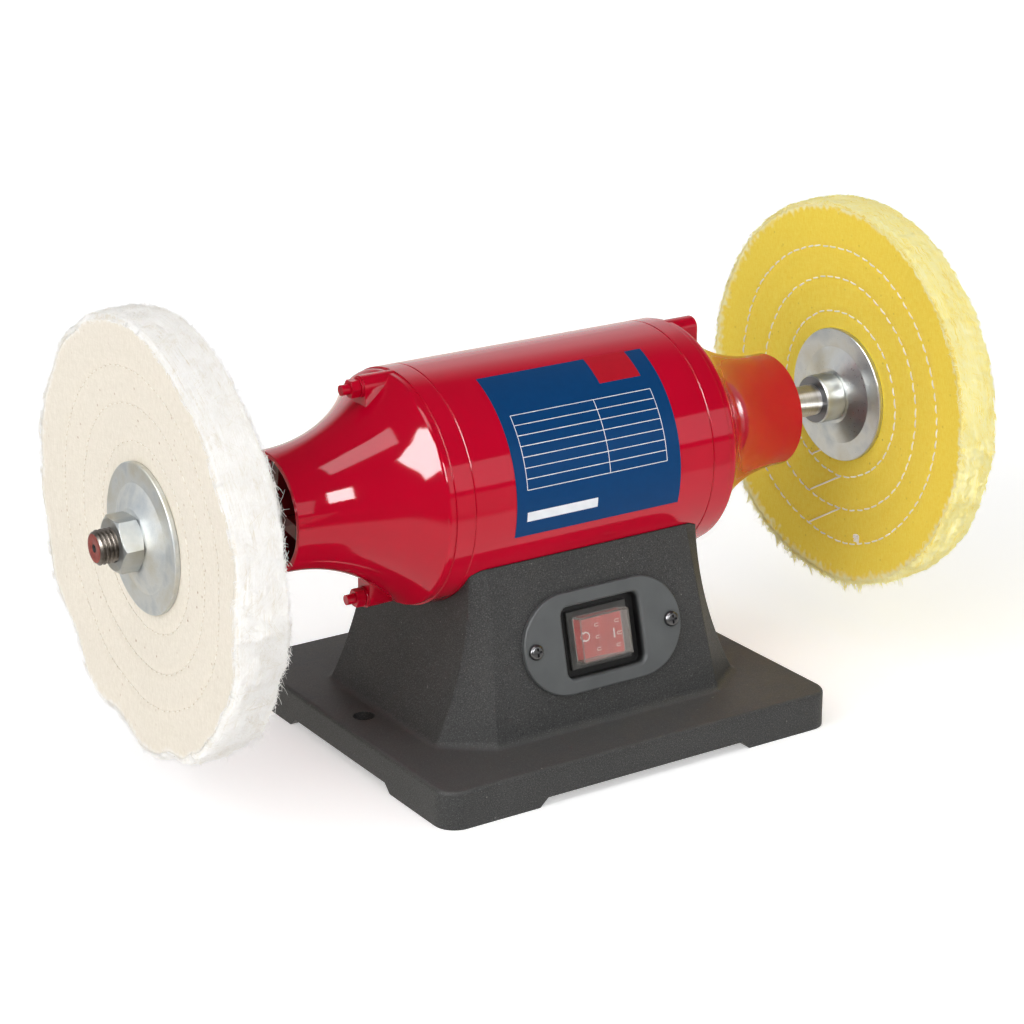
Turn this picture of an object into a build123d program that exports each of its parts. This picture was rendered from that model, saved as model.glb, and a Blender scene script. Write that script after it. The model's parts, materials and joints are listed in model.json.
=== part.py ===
from build123d import *
import math
import os

# Bench buffer: millimetres, +Z up, X along the spindle, front towards -Y, origin under the base on the bench

# Base casting
spindle_height = 131.5
base_width = 222.0
base_depth = 198.0
base_height = 18.7
base_corner_r = 11.0
base_edge_r = 2.0
base_top_wall = 6.0
base_skirt_wall = 8.0
arch_height = 4.2
arch_half_x = 56.0
arch_half_y = 43.5
arch_run = 4.5
bench_hole_inset = 14.5
bench_hole_d = 10.5
bench_boss_d = 24.0
bay_half_x = 70.0
bay_half_y = 52.5
bay_corner_r = 14.0
cover_ledge = 6.0
cover_ledge_height = 6.0
cover_rim_wall = 5.0

# Pedestal: an eight-sided section that narrows upwards, its ends hollow-curved
foot_side = 87.0
foot_front = 68.0
foot_corner_x = 64.0
foot_corner_y = 50.0
foot_fillet = 4.0
top_side = 65.3
top_front = 48.75
top_corner_x = 57.0
top_corner_y = 46.3
pedestal_top = 100.5
pedestal_wall = 5.5
pedestal_edge_r = 2.0
saddle_wall = 6.0

# Motor body and end bells
body_d = 114.0
body_length = 135.0
body_wall = 2.5
seam_chamfer = 0.4
bell_rim = 10.0
bell_ridge = 0.7
bell_shoulder = 12.5
bell_shoulder_r = 2.5
bell_wall = 4.0
spigot_length = 6.0
spigot_wall = 4.0
neck_d = 57.6
neck_end = 144.0
neck_straight = 3.0
neck_mouth_wall = 2.3
hub_wall = 3.5
diaphragm = 5.0
seat_back = 28.0
nose_d = 24.0
nose_setback = 2.0
nose_wall = 2.5
neck_rib = 7.0
neck_rib_count = 4
neck_rib_turn = 100.0

# Tie bolts through the bells
tie_d = 5.0
tie_inset = 5.5
tie_lug_r = 5.5
tie_lug_depth = 11.0
tie_lug_stand = 3.8
tie_lug_edge_r = 1.2
tie_blind_wall = 3.0
tie_tip_room = 1.0
tie_washer_d = 10.0
tie_washer = 1.0
tie_nut_af = 8.0
tie_nut = 4.7
tie_end = 4.2

# Stator and rotor
stator_length = 60.0
stator_yoke = 9.5
slot_count = 24
slot_width = 5.0
slot_depth = 12.0
slot_mouth = 2.2
slot_lip = 2.0
slot_liner = 0.4
end_turn_length = 22.0
end_turn_gap = 1.5
end_turn_r = 4.0
air_gap = 0.4
rotor_seat_d = 20.0
cage_bar_d = 4.0
cage_bar_count = 28
cage_ring_length = 7.0
cage_ring_inner_d = 42.0
cage_fin_count = 8
cage_fin = 5.0
cage_fin_width = 3.0

# Ball bearings, 17 x 35 x 10
bearing_bore = 17.0
bearing_d = 35.0
bearing_width = 10.0
ball_d = 4.76
ball_count = 10
race_wall = 2.3
race_clearance = 0.07
cage_wall = 1.6
cage_width = 6.4
shield = 0.4
shield_inset = 0.2
shield_gap = 0.3
preload_washer = 2.0

# Spindle, collars, flanges, nuts and buffs
spindle_d = 16.0
spindle_chamfer = 1.2
spindle_showing = 8.5
centre_hole_d = 2.6
centre_hole_mouth_d = 5.0
centre_hole_depth = 4.5
wheel_face = 191.9
collar_d = 25.4
collar_length = 11.75
collar_chamfer = 0.6
flange_d = 70.0
flange_sheet = 2.7
flange_dish = 3.6
flange_dish_d = 51.0
flange_boss_d = 29.0
nut_af = 24.0
nut_height = 10.3
wheel_d = 200.0
wheel_hub = 14.0
wheel_rim = 22.0
wheel_rim_r = 4.0
wheel_flat = 1.5

# Motor mounting bolts, earth screw and wire grommet under the saddle
mount_bolt_d = 6.0
mount_bolt_x = 53.0
mount_bolt_y = 20.0
mount_bolt_af = 10.0
mount_bolt_head = 4.0
mount_washer_d = 12.0
mount_washer = 1.6
mount_pad_d = 16.0
mount_pad_drop = 0.5
weld_nut_side = 12.0
weld_nut_rise = 7.0
earth_y = 20.0
earth_screw_d = 5.0
earth_screw_length = 8.0
grommet_x = 34.0
grommet_y = 20.0
grommet_d = 9.0
grommet_bore = 6.0
grommet_flange_d = 13.0
grommet_flange = 1.5

# Switch on the sloping front face
switch_x = 1.0
switch_rise = 41.0
plate_width = 90.0
plate_height = 49.0
plate_sheet = 2.5
plate_edge_r = 0.8
well_width = 44.5
well_height = 34.8
well_mouth_r = 1.6
well_corner_r = 4.0
well_wall = 2.0
well_floor = 4.0
plate_screw_spacing = 78.0
bezel_width = 34.3
bezel_height = 28.4
bezel_thickness = 2.2
bezel_chamfer = 0.5
switch_body_width = 30.0
switch_body_height = 24.5
switch_body_depth = 22.0
rocker_cavity_width = 27.0
rocker_cavity_height = 20.8
rocker_cavity_depth = 13.0
rocker_half = 12.0
rocker_height = 20.0
rocker_skirt = 3.3
rocker_keel_half = 5.0
rocker_keel_depth = 9.2
rocker_throw = 9.0
rocker_pivot_depth = 5.2
rocker_pin_d = 3.0
rocker_pin_reach = 1.8
boot_width = 28.4
boot_height = 22.4
boot_rise = 6.9
boot_wall = 1.0
boot_edge_r = 0.8
blade_width = 6.3
blade_thickness = 0.8
blade_length = 9.0
blade_x = 8.0
blade_y = 6.0

# Bottom cover and what stands on it
cover_sheet = 1.2
cover_clearance = 0.5
cover_corner_r = 5.0
cover_screw_inset = 0.5
capacitor_d = 36.0
capacitor_length = 62.0
capacitor_y = 20.0
capacitor_post_d = 3.0
capacitor_post = 6.0
capacitor_post_spacing = 12.0
clip_sheet = 1.0
clip_width = 16.0
clip_foot = 10.0
clip_nut_af = 7.0
clip_nut = 3.2
block_length = 34.0
block_depth = 20.0
block_height = 17.0
block_x = -48.0
block_y = -12.0
block_ways = 4
block_way_d = 4.5
block_screw_spacing = 26.0

# Cable gland on the back face
gland_x = 0.0
gland_rise = 32.0
gland_thread_d = 16.0
gland_bore = 8.4
gland_af = 22.0
gland_hex = 5.0
gland_neck_d = 18.5
gland_neck = 6.0
gland_cap_d = 20.0
gland_cap = 11.0
gland_cap_mouth_d = 14.0
gland_inside = 12.0
gland_nut = 4.0

# Small screws
pan_head_d = 7.6
pan_head = 2.3
pan_slot = 1.1
pan_slot_length = 4.4
pan_slot_depth = 1.2
pan_screw_d = 4.0
pan_screw_grip = 7.0

# Sticker on the motor body
label_x = 1.0
label_width = 93.0
label_sheet = 0.25
label_low = -16.0
label_high = 67.0

# Internal leads
lead_d = 2.4
lead_bend = 4.0
lead_bare = 6.0
lead_level = 54.0
lead_spacing = 2.8

# Fits
running_fit = 0.05
slip_fit = 0.1
bolt_hole_clearance = 0.3

# Values worked out from the sizes above
body_r = body_d / 2
body_bore_r = body_r - body_wall
seam = body_length / 2
bench_hole_spacing = base_width - 2 * bench_hole_inset
tie_circle_r = body_r - tie_inset
stator_bore = 2 * (body_bore_r - stator_yoke - slot_depth - slot_lip)
bearing_x = neck_end - nose_setback - seat_back + bearing_width / 2
shaft_shoulder = bearing_x - bearing_width / 2
seat_end = bearing_x + bearing_width / 2
nut_face = wheel_face + wheel_hub + flange_sheet + flange_dish
spindle_end = nut_face + nut_height + spindle_showing
flange_back = wheel_face - flange_sheet - flange_dish
collar_start = flange_back - collar_length
draft_run = foot_front - top_front
draft_rise = pedestal_top - base_height
slope_length = math.hypot(draft_run, draft_rise)
slope_cos = draft_rise / slope_length
slope_sin = draft_run / slope_length
wall_through = pedestal_wall * slope_cos
cover_top = cover_ledge_height
cover_bottom = cover_top - cover_sheet
pad_face = spindle_height - body_r - saddle_wall - mount_pad_drop
bezel_face = -well_floor + bezel_thickness
pivot_level = bezel_face - rocker_pivot_depth
spindle_axis = Axis((0, 0, spindle_height), (1, 0, 0))


# Shared helpers

def on_axis(point):
    """Place of an (x, radius) point above the spindle axis."""
    return (point[0], 0, spindle_height + point[1])


def turned(*outline):
    """Piece turned about the spindle axis from its (x, radius) corners."""
    corners = [on_axis(point) for point in outline]
    return revolve(make_face(Polyline(*corners, close=True)), spindle_axis)


def ring(x_from, x_to, inner_d, outer_d):
    """Plain ring about the spindle axis."""
    inner, outer = inner_d / 2, outer_d / 2
    return turned((x_from, inner), (x_from, outer), (x_to, outer), (x_to, inner))


def rod(x_from, x_to, diameter, y=0.0, z=0.0):
    """Rod along X, its centre line y and z away from the spindle axis."""
    start = Plane((x_from, y, spindle_height + z), x_dir=(0, 1, 0), z_dir=(1, 0, 0))
    return extrude(start * Circle(diameter / 2), x_to - x_from)


def arc_about(centre, start, end):
    """Arc about centre, the short way from start to end, all as (x, radius)."""
    radius = math.dist(centre, start)
    lean_x = (start[0] + end[0]) / 2 - centre[0]
    lean_r = (start[1] + end[1]) / 2 - centre[1]
    scale = radius / math.hypot(lean_x, lean_r)
    middle = (centre[0] + lean_x * scale, centre[1] + lean_r * scale)
    return ThreePointArc(on_axis(start), on_axis(middle), on_axis(end))


def across(x):
    """Plane across the spindle at x, its local Z along +X."""
    return Plane((x, 0, spindle_height), x_dir=(0, 1, 0), z_dir=(1, 0, 0))


def around(radius, count, sketch, start=0.0):
    """Copies of a sketch spaced evenly on a circle."""
    return Sketch() + [place * sketch for place in PolarLocations(radius, count, start)]


def post(x, y, z_from, z_to, diameter):
    """Upright cylinder."""
    return extrude(Pos(x, y, z_from) * Circle(diameter / 2), z_to - z_from)


def prism(sketch, z_from, z_to):
    """Upright prism between two heights."""
    return extrude(Pos(0, 0, z_from) * sketch, z_to - z_from)


def hex_prism(across_flats, height, bore_d=0.0):
    """Hexagon with turned corners, standing on the local XY plane."""
    corner_r = across_flats / math.sqrt(3)
    flat_r = across_flats / 2
    bevel = (corner_r - flat_r) / math.sqrt(3)
    lathe = Polyline((0, 0, 0), (flat_r, 0, 0), (corner_r, 0, bevel), (corner_r, 0, height - bevel),
                     (flat_r, 0, height), (0, 0, height), close=True)
    blank = extrude(RegularPolygon(flat_r, 6, major_radius=False), height)
    piece = blank & revolve(make_face(lathe), Axis.Z)
    if bore_d:
        piece -= extrude(Circle(bore_d / 2), height)
    return piece


def pan_screw(length):
    """Cross-head screw: head up from the local XY plane, shank down."""
    head = extrude(Circle(pan_head_d / 2), pan_head)
    head = fillet(head.edges().sort_by(Axis.Z)[-1], pan_head * 0.7)
    slot = Box(pan_slot_length, pan_slot, pan_slot_depth, align=(Align.CENTER, Align.CENTER, Align.MAX))
    cross = Pos(0, 0, pan_head) * (slot + Rot(0, 0, 90) * slot)
    shank = extrude(Circle(pan_screw_d / 2), -length)
    return head - cross + shank


def both_sides(piece):
    """A piece on the right-hand end and its mirror image on the left."""
    return piece, mirror(piece, about=Plane.YZ)


# Base casting

def pedestal_section(z, inset):
    """Eight-sided pedestal section at height z, drawn in by inset."""
    up = (z - base_height) / draft_rise
    side = top_side + (foot_side - top_side) * (1 - up) ** 2 - inset
    front = foot_front + (top_front - foot_front) * up - inset
    corner_x = foot_corner_x + (top_corner_x - foot_corner_x) * up - inset / 2
    corner_y = foot_corner_y + (top_corner_y - foot_corner_y) * up - inset / 2
    quarter = [(corner_x, -front), (side, -corner_y), (side, corner_y), (corner_x, front)]
    points = quarter + [(-x, -y) for x, y in quarter]
    outline = make_face(Polyline(*[(x, y, z) for x, y in points], close=True))
    return fillet(outline.vertices(), pedestal_edge_r)


def pedestal_block(inset=0.0):
    """Solid pedestal from the plate's top up to the saddle's rim."""
    levels = [base_height + draft_rise * step / 5 for step in range(6)]
    return loft([pedestal_section(z, inset) for z in levels])


def base_plate():
    """Plate with rounded corners and a rolled top edge."""
    plate = extrude(RectangleRounded(base_width, base_depth, base_corner_r), base_height)
    return fillet(plate.faces().sort_by(Axis.Z)[-1].edges(), base_edge_r)


def arch_cuts():
    """Low arches under the plate's four sides, which leave a foot at each corner."""
    cuts = []
    for half, turn, reach in ((arch_half_x, 0, base_depth), (arch_half_y, 90, base_width)):
        profile = Polyline((-half - arch_run, 0, 0), (-half, 0, arch_height), (half, 0, arch_height),
                           (half + arch_run, 0, 0), close=True)
        cuts.append(Rot(0, 0, turn) * extrude(make_face(profile), reach / 2, both=True))
    return cuts


def underside_pocket():
    """Hollow under the plate between its skirt, the bay's rim and the bench-bolt bosses."""
    inner_r = max(base_corner_r - base_skirt_wall, 1.0)
    skirt = RectangleRounded(base_width - 2 * base_skirt_wall, base_depth - 2 * base_skirt_wall, inner_r)
    rim_grow = cover_ledge + cover_rim_wall
    rim = RectangleRounded(2 * (bay_half_x + rim_grow), 2 * (bay_half_y + rim_grow), bay_corner_r)
    bosses = [Pos(side * bench_hole_spacing / 2, 0) * Circle(bench_boss_d / 2) for side in (-1, 1)]
    return prism(skirt - rim - bosses, 0, base_height - base_top_wall)


def mount_places():
    """Centres of the four motor mounting bolts."""
    return [(x, y) for x in (-mount_bolt_x, mount_bolt_x) for y in (-mount_bolt_y, mount_bolt_y)]


def cover_screw_places():
    """Centres of the four bottom-cover screws."""
    reach_x = bay_half_x - cover_screw_inset
    reach_y = bay_half_y - cover_screw_inset
    return [(x, y) for x in (-reach_x, reach_x) for y in (-reach_y, reach_y)]


def face_plane(facing, x, rise):
    """Plane on the pedestal's front (-1) or back (1) face, rise up its slope, facing outwards."""
    y = facing * (foot_front - rise * slope_sin)
    z = base_height + rise * slope_cos
    return Plane((x, y, z), x_dir=(-facing, 0, 0), z_dir=(0, facing * slope_cos, slope_sin))


def base_casting():
    outer = base_plate() + pedestal_block()
    foot_edges = [edge for edge in outer.edges()
                  if abs(edge.bounding_box().min.Z - base_height) < 0.01
                  and abs(edge.bounding_box().max.Z - base_height) < 0.01
                  and edge.bounding_box().max.X < foot_side + 0.01
                  and edge.bounding_box().min.X > -foot_side - 0.01
                  and abs(edge.center().Y) < foot_front + 0.01]
    outer = fillet(foot_edges, foot_fillet)
    saddle = rod(-base_width, base_width, body_d + 2 * slip_fit)
    saddle_back = rod(-base_width, base_width, body_d + 2 * saddle_wall)
    hollow = pedestal_block(pedestal_wall) - saddle_back
    bay = prism(RectangleRounded(2 * bay_half_x, 2 * bay_half_y, bay_corner_r), 0, base_height + 1)
    rebate = prism(RectangleRounded(2 * (bay_half_x + cover_ledge), 2 * (bay_half_y + cover_ledge),
                                    cover_corner_r), 0, cover_ledge_height)
    casting = outer - hollow - bay - rebate - underside_pocket() - arch_cuts()
    pads = mount_places() + [(0, earth_y), (grommet_x, grommet_y)]
    casting += [post(x, y, pad_face, spindle_height - body_r / 2, mount_pad_d) for x, y in pads]
    casting -= saddle
    clear_d = mount_bolt_d + 2 * bolt_hole_clearance
    casting -= [post(x, y, 0, spindle_height, clear_d) for x, y in mount_places()]
    casting -= post(0, earth_y, 0, pad_face + earth_screw_length, earth_screw_d + 2 * running_fit)
    casting -= post(grommet_x, grommet_y, 0, spindle_height, grommet_d + 2 * running_fit)
    casting -= [post(side * bench_hole_spacing / 2, 0, 0, base_height, bench_hole_d) for side in (-1, 1)]
    screw_d = pan_screw_d + 2 * running_fit
    casting -= [post(x, y, 0, cover_top + pan_screw_grip, screw_d) for x, y in cover_screw_places()]
    front = face_plane(-1, switch_x, switch_rise)
    grow = 2 * (well_wall + slip_fit)
    window = RectangleRounded(well_width + grow, well_height + grow, well_corner_r + well_wall)
    casting -= extrude(front * window, 2 * pedestal_wall, both=True)
    screw_hole = Circle(screw_d / 2)
    casting -= [extrude(front * Pos(side * plate_screw_spacing / 2, 0) * screw_hole, -2 * pedestal_wall)
                for side in (-1, 1)]
    back = face_plane(1, gland_x, gland_rise)
    casting -= extrude(back * Circle(gland_thread_d / 2 + running_fit), 2 * pedestal_wall, both=True)
    return casting


# Bottom cover, capacitor and terminal block

def clip_screw_places():
    """Centres of the two screws through the capacitor clip's feet."""
    reach = capacitor_d / 2 + clip_sheet + clip_foot / 2
    return [(0, capacitor_y - reach), (0, capacitor_y + reach)]


def block_screw_places():
    """Centres of the two screws under the terminal block."""
    return [(block_x + side * block_screw_spacing / 2, block_y) for side in (-1, 1)]


def bottom_cover():
    grow = cover_ledge - cover_clearance
    sheet = RectangleRounded(2 * (bay_half_x + grow), 2 * (bay_half_y + grow), cover_corner_r)
    cover = prism(sheet, cover_bottom, cover_top)
    places = cover_screw_places() + clip_screw_places() + block_screw_places()
    hole_d = pan_screw_d + 2 * bolt_hole_clearance
    return cover - [post(x, y, cover_bottom, cover_top, hole_d) for x, y in places]


def screw_from_below(x, y, length):
    """Cross-head screw pointing up through the bottom cover."""
    return Plane((x, y, cover_bottom), x_dir=(1, 0, 0), z_dir=(0, 0, -1)).location * pan_screw(length)


def bottom_cover_screws():
    length = cover_sheet + pan_screw_grip - running_fit
    return [screw_from_below(x, y, length) for x, y in cover_screw_places()]


def capacitor_level():
    """Height of the centre line of the capacitor, which lies on the cover."""
    return cover_top + capacitor_d / 2


def capacitor():
    half = capacitor_length / 2
    can = Plane((-half, capacitor_y, capacitor_level()), x_dir=(0, 1, 0), z_dir=(1, 0, 0))
    body = extrude(can * Circle(capacitor_d / 2), capacitor_length)
    body = fillet(body.edges().filter_by(GeomType.CIRCLE), 1.5)
    stem = Circle(capacitor_post_d / 2)
    posts = [extrude(can * Pos(side * capacitor_post_spacing / 2, 0) * stem, -capacitor_post)
             for side in (-1, 1)]
    return body + posts


def capacitor_clip():
    """Strap over the capacitor with a foot on the cover at each side."""
    inner_r = capacitor_d / 2 + running_fit
    outer_r = inner_r + clip_sheet
    level = capacitor_level()
    reach = capacitor_d / 2 + clip_sheet + clip_foot
    side_view = Plane((0, capacitor_y, level), x_dir=(0, 1, 0), z_dir=(1, 0, 0))
    drop = cover_top - level
    legs = Pos(0, drop / 2) * Rectangle(2 * outer_r, -drop)
    leg_gap = Pos(0, drop / 2) * Rectangle(2 * inner_r, -drop)
    feet = Pos(0, drop + clip_sheet / 2) * Rectangle(2 * reach, clip_sheet)
    below = Pos(0, drop - outer_r) * Rectangle(4 * outer_r, 2 * outer_r)
    strap = Circle(outer_r) + legs + feet - Circle(inner_r) - leg_gap - below
    clip = extrude(side_view * strap, clip_width / 2, both=True)
    hole_d = pan_screw_d + 2 * bolt_hole_clearance
    return clip - [post(x, y, cover_top, level, hole_d) for x, y in clip_screw_places()]


def clip_nut_base():
    """Underside of the nuts on the capacitor clip's feet."""
    return cover_top + clip_sheet


def capacitor_clip_screws():
    length = cover_sheet + clip_sheet + clip_nut
    return [screw_from_below(x, y, length) for x, y in clip_screw_places()]


def capacitor_clip_nuts():
    nut = hex_prism(clip_nut_af, clip_nut, pan_screw_d)
    return [Pos(x, y, clip_nut_base()) * nut for x, y in clip_screw_places()]


def block_way_places():
    """Centres of the terminal block's wire ways along X."""
    pitch = block_length / block_ways
    return [block_x - block_length / 2 + pitch * (way + 0.5) for way in range(block_ways)]


def terminal_block():
    """Moulded block with a wire way and a clamp-screw well for each terminal."""
    block = Pos(block_x, block_y, cover_top + block_height / 2) * Box(block_length, block_depth, block_height)
    way_level = cover_top + block_height * 0.6
    front_view = Plane((0, block_y, way_level), x_dir=(1, 0, 0), z_dir=(0, -1, 0))
    for x in block_way_places():
        block -= extrude(front_view * Pos(x, 0) * Circle(block_way_d / 2), block_depth, both=True)
        block -= post(x, block_y, way_level, cover_top + block_height, block_way_d)
    hole_d = pan_screw_d + 2 * running_fit
    hole_top = cover_top + pan_screw_grip
    return block - [post(x, y, cover_top, hole_top, hole_d) for x, y in block_screw_places()]


def terminal_block_screws():
    length = cover_sheet + pan_screw_grip - running_fit
    return [screw_from_below(x, y, length) for x, y in block_screw_places()]


# Motor mounting

def motor_mount_washers():
    hole_d = mount_bolt_d + 2 * slip_fit
    washers = []
    for x, y in mount_places():
        disc = post(x, y, pad_face - mount_washer, pad_face, mount_washer_d)
        washers.append(disc - post(x, y, pad_face - mount_washer, pad_face, hole_d))
    return washers


def weld_nut_top():
    """Height of the weld nuts' tops, inside the motor body."""
    return spindle_height - math.sqrt(body_bore_r ** 2 - mount_bolt_y ** 2) + weld_nut_rise


def motor_mount_bolts():
    head_top = pad_face - mount_washer
    head = hex_prism(mount_bolt_af, mount_bolt_head)
    return [Pos(x, y, head_top - mount_bolt_head) * head + post(x, y, head_top, weld_nut_top(), mount_bolt_d)
            for x, y in mount_places()]


def weld_nuts():
    """Square nuts shaped to the inside of the motor body."""
    bore = rod(-seam, seam, 2 * body_bore_r)
    side = Rectangle(weld_nut_side, weld_nut_side)
    nuts = []
    for x, y in mount_places():
        block = prism(Pos(x, y) * side, spindle_height - body_r, weld_nut_top()) & bore
        nuts.append(block - post(x, y, 0, spindle_height, mount_bolt_d + 2 * running_fit))
    return nuts


def earth_screw():
    """Hexagon screw under the saddle for the earth lead."""
    head_top = pad_face - mount_washer
    head = Pos(0, earth_y, head_top - mount_bolt_head) * hex_prism(mount_bolt_af, mount_bolt_head)
    tag = post(0, earth_y, head_top, pad_face, mount_washer_d)
    shank = post(0, earth_y, head_top, pad_face + earth_screw_length - running_fit, earth_screw_d)
    return head + tag + shank


def wire_grommet():
    """Rubber sleeve through the saddle and the motor body, flanged below."""
    top = spindle_height - math.sqrt(body_bore_r ** 2 - (grommet_y + grommet_d / 2) ** 2) + 1
    sleeve = post(grommet_x, grommet_y, pad_face - grommet_flange, top, grommet_d)
    flange = post(grommet_x, grommet_y, pad_face - grommet_flange, pad_face, grommet_flange_d)
    sleeve -= rod(-seam, seam, 2 * body_bore_r + 2 * bolt_hole_clearance)
    return sleeve + flange - post(grommet_x, grommet_y, 0, spindle_height, grommet_bore)


# Motor body, stator and rotor

def motor_housing():
    edge = seam - seam_chamfer
    edge_r = body_r - seam_chamfer
    tube = turned((-seam, body_bore_r), (-seam, edge_r), (-edge, body_r), (edge, body_r), (seam, edge_r),
                  (seam, body_bore_r))
    clear_d = mount_bolt_d + 2 * bolt_hole_clearance
    tube -= [post(x, y, 0, spindle_height, clear_d) for x, y in mount_places()]
    return tube - post(grommet_x, grommet_y, 0, spindle_height, grommet_d + 2 * running_fit)


def stator_sketch():
    """Stator lamination: slots open to the bore, notches for the tie bolts."""
    bore_r = stator_bore / 2
    slot_mid = bore_r + slot_lip + slot_depth / 2
    face = Circle(body_bore_r) - Circle(bore_r)
    face -= around(slot_mid, slot_count, Rectangle(slot_depth, slot_width))
    face -= around(bore_r + slot_lip / 2, slot_count, Rectangle(2 * slot_lip, slot_mouth))
    notch_depth = body_bore_r - tie_circle_r + tie_d
    notch = Rectangle(notch_depth, tie_d + 2, align=(Align.MAX, Align.CENTER))
    return face - around(body_bore_r + 1, 2, notch, 90)


def stator_core():
    return extrude(across(0) * stator_sketch(), stator_length / 2, both=True)


def stator_windings():
    """Coil sides in the slots, joined by a bundle of end turns at each end."""
    slot_mid = stator_bore / 2 + slot_lip + slot_depth / 2
    side = Rectangle(slot_depth - 2 * slot_liner, slot_width - 2 * slot_liner)
    bars = across(0) * around(slot_mid, slot_count, side)
    start = stator_length / 2 + end_turn_gap
    inner_d = stator_bore + 2 * (slot_lip + slot_liner)
    outer_d = inner_d + 2 * (slot_depth - 2 * slot_liner)
    bundle = ring(start, start + end_turn_length, inner_d, outer_d)
    bundle = fillet(bundle.edges().filter_by(GeomType.CIRCLE), end_turn_r)
    reach = start + end_turn_length / 2
    return extrude(bars, reach, both=True) + list(both_sides(bundle))


def cage_bar_circle_r():
    """Radius of the circle of bars in the rotor."""
    return stator_bore / 2 - air_gap - cage_bar_d


def rotor_core():
    core = ring(-stator_length / 2, stator_length / 2, rotor_seat_d, stator_bore - 2 * air_gap)
    holes = around(cage_bar_circle_r(), cage_bar_count, Circle(cage_bar_d / 2 + running_fit))
    return core - extrude(across(-stator_length / 2) * holes, stator_length)


def rotor_cage():
    """Cast bars between two end rings with stirring fins."""
    half = stator_length / 2
    bar = Circle(cage_bar_d / 2)
    bars = extrude(across(-half) * around(cage_bar_circle_r(), cage_bar_count, bar), stator_length)
    outer_d = stator_bore - 4 * air_gap
    end = ring(half, half + cage_ring_length, cage_ring_inner_d, outer_d)
    fin_r = (cage_ring_inner_d + outer_d) / 4
    fin = Rectangle((outer_d - cage_ring_inner_d) / 2 - 2, cage_fin_width)
    end += extrude(across(half + cage_ring_length) * around(fin_r, cage_fin_count, fin), cage_fin)
    return bars + list(both_sides(end))


# End bells

def flare():
    """Centre and radius of the trumpet curve, tangent to the neck and to the rim's shoulder."""
    neck_r = neck_d / 2
    rim_r = body_r - bell_ridge
    end_x = neck_end - neck_straight
    run = end_x - seam - bell_shoulder
    drop = neck_r - rim_r + bell_shoulder_r
    radius = (run ** 2 + drop ** 2 - bell_shoulder_r ** 2) / (2 * (bell_shoulder_r - drop))
    return (end_x, neck_r + radius), radius


def bell_blank():
    """Outside of the bell as a solid of revolution: spigot, rim, ridge, shoulder, flare and neck."""
    centre, radius = flare()
    rim_r = body_r - bell_ridge
    spigot_r = body_bore_r - running_fit
    shoulder = (seam + bell_shoulder, rim_r)
    shoulder_centre = (shoulder[0], rim_r - bell_shoulder_r)
    lean = bell_shoulder_r / (radius + bell_shoulder_r)
    meet = (shoulder_centre[0] + (centre[0] - shoulder_centre[0]) * lean,
            shoulder_centre[1] + (centre[1] - shoulder_centre[1]) * lean)
    flare_end = (centre[0], neck_d / 2)
    rim = [(seam - spigot_length, 0), (seam - spigot_length, spigot_r), (seam, spigot_r),
           (seam, body_r - seam_chamfer), (seam + seam_chamfer, body_r), (seam + bell_rim, body_r),
           (seam + bell_rim, rim_r), shoulder]
    neck = [flare_end, (neck_end, neck_d / 2), (neck_end, 0), rim[0]]
    edges = [Polyline(*[on_axis(point) for point in rim]),
             arc_about(shoulder_centre, shoulder, meet),
             arc_about(centre, meet, flare_end),
             Polyline(*[on_axis(point) for point in neck])]
    return revolve(make_face(edges), spindle_axis)


def diaphragm_start():
    """Motor-side face of the wall that carries the bearing hub."""
    return bearing_x - bearing_width / 2


def bell_cavity():
    """Hollow on the motor side of the bell, up to the bearing wall."""
    centre, radius = flare()
    inner_arc = radius + bell_wall
    inner_r = body_bore_r - running_fit - spigot_wall
    corner = (centre[0] - math.sqrt(inner_arc ** 2 - (centre[1] - inner_r) ** 2), inner_r)
    end_x = diaphragm_start()
    end = (end_x, centre[1] - math.sqrt(inner_arc ** 2 - (centre[0] - end_x) ** 2))
    start_x = seam - spigot_length
    edges = [Polyline(on_axis((start_x, 0)), on_axis((start_x, inner_r)), on_axis(corner)),
             arc_about(centre, corner, end),
             Polyline(on_axis(end), on_axis((end_x, 0)), on_axis((start_x, 0)))]
    return revolve(make_face(edges), spindle_axis)


def lug_face():
    """Seat of the tie bolts' washers, past where the flare has dropped below their edge."""
    centre, radius = flare()
    washer_low = tie_circle_r - tie_washer_d / 2
    return centre[0] - math.sqrt(radius ** 2 - (centre[1] - washer_low) ** 2) + tie_lug_stand


def bell_lugs(closed):
    """Lugs for the tie bolts, at the top and the bottom of the rim; closed lugs have rounded ends."""
    lugs = []
    face = lug_face()
    for side in (-1, 1):
        round_part = rod(seam + 1, face, 2 * tie_lug_r, z=side * tie_circle_r)
        root_z = spindle_height + side * (tie_circle_r - tie_lug_depth / 2)
        length = face - seam - 1
        root = Pos(seam + 1 + length / 2, 0, root_z) * Box(length, 2 * tie_lug_r, tie_lug_depth)
        lug = round_part + root
        if closed:
            lug = fillet(lug.edges().group_by(Axis.X)[-1], tie_lug_edge_r)
        lugs.append(lug)
    return lugs


def neck_ribs():
    """Ribs from the nose tube to the neck's wall, seen in the mouth."""
    start = diaphragm_start() + diaphragm
    length = neck_end - nose_setback - start
    reach = neck_d / 2 - neck_mouth_wall / 2
    inner = nose_d / 2 - nose_wall / 2
    rib = Pos(start + length / 2, 0, (inner + reach) / 2) * Box(length, neck_rib, reach - inner)
    step = 360 / neck_rib_count
    return [Pos(0, 0, spindle_height) * Rot(neck_rib_turn + step * turn, 0, 0) * rib
            for turn in range(neck_rib_count)]


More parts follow.
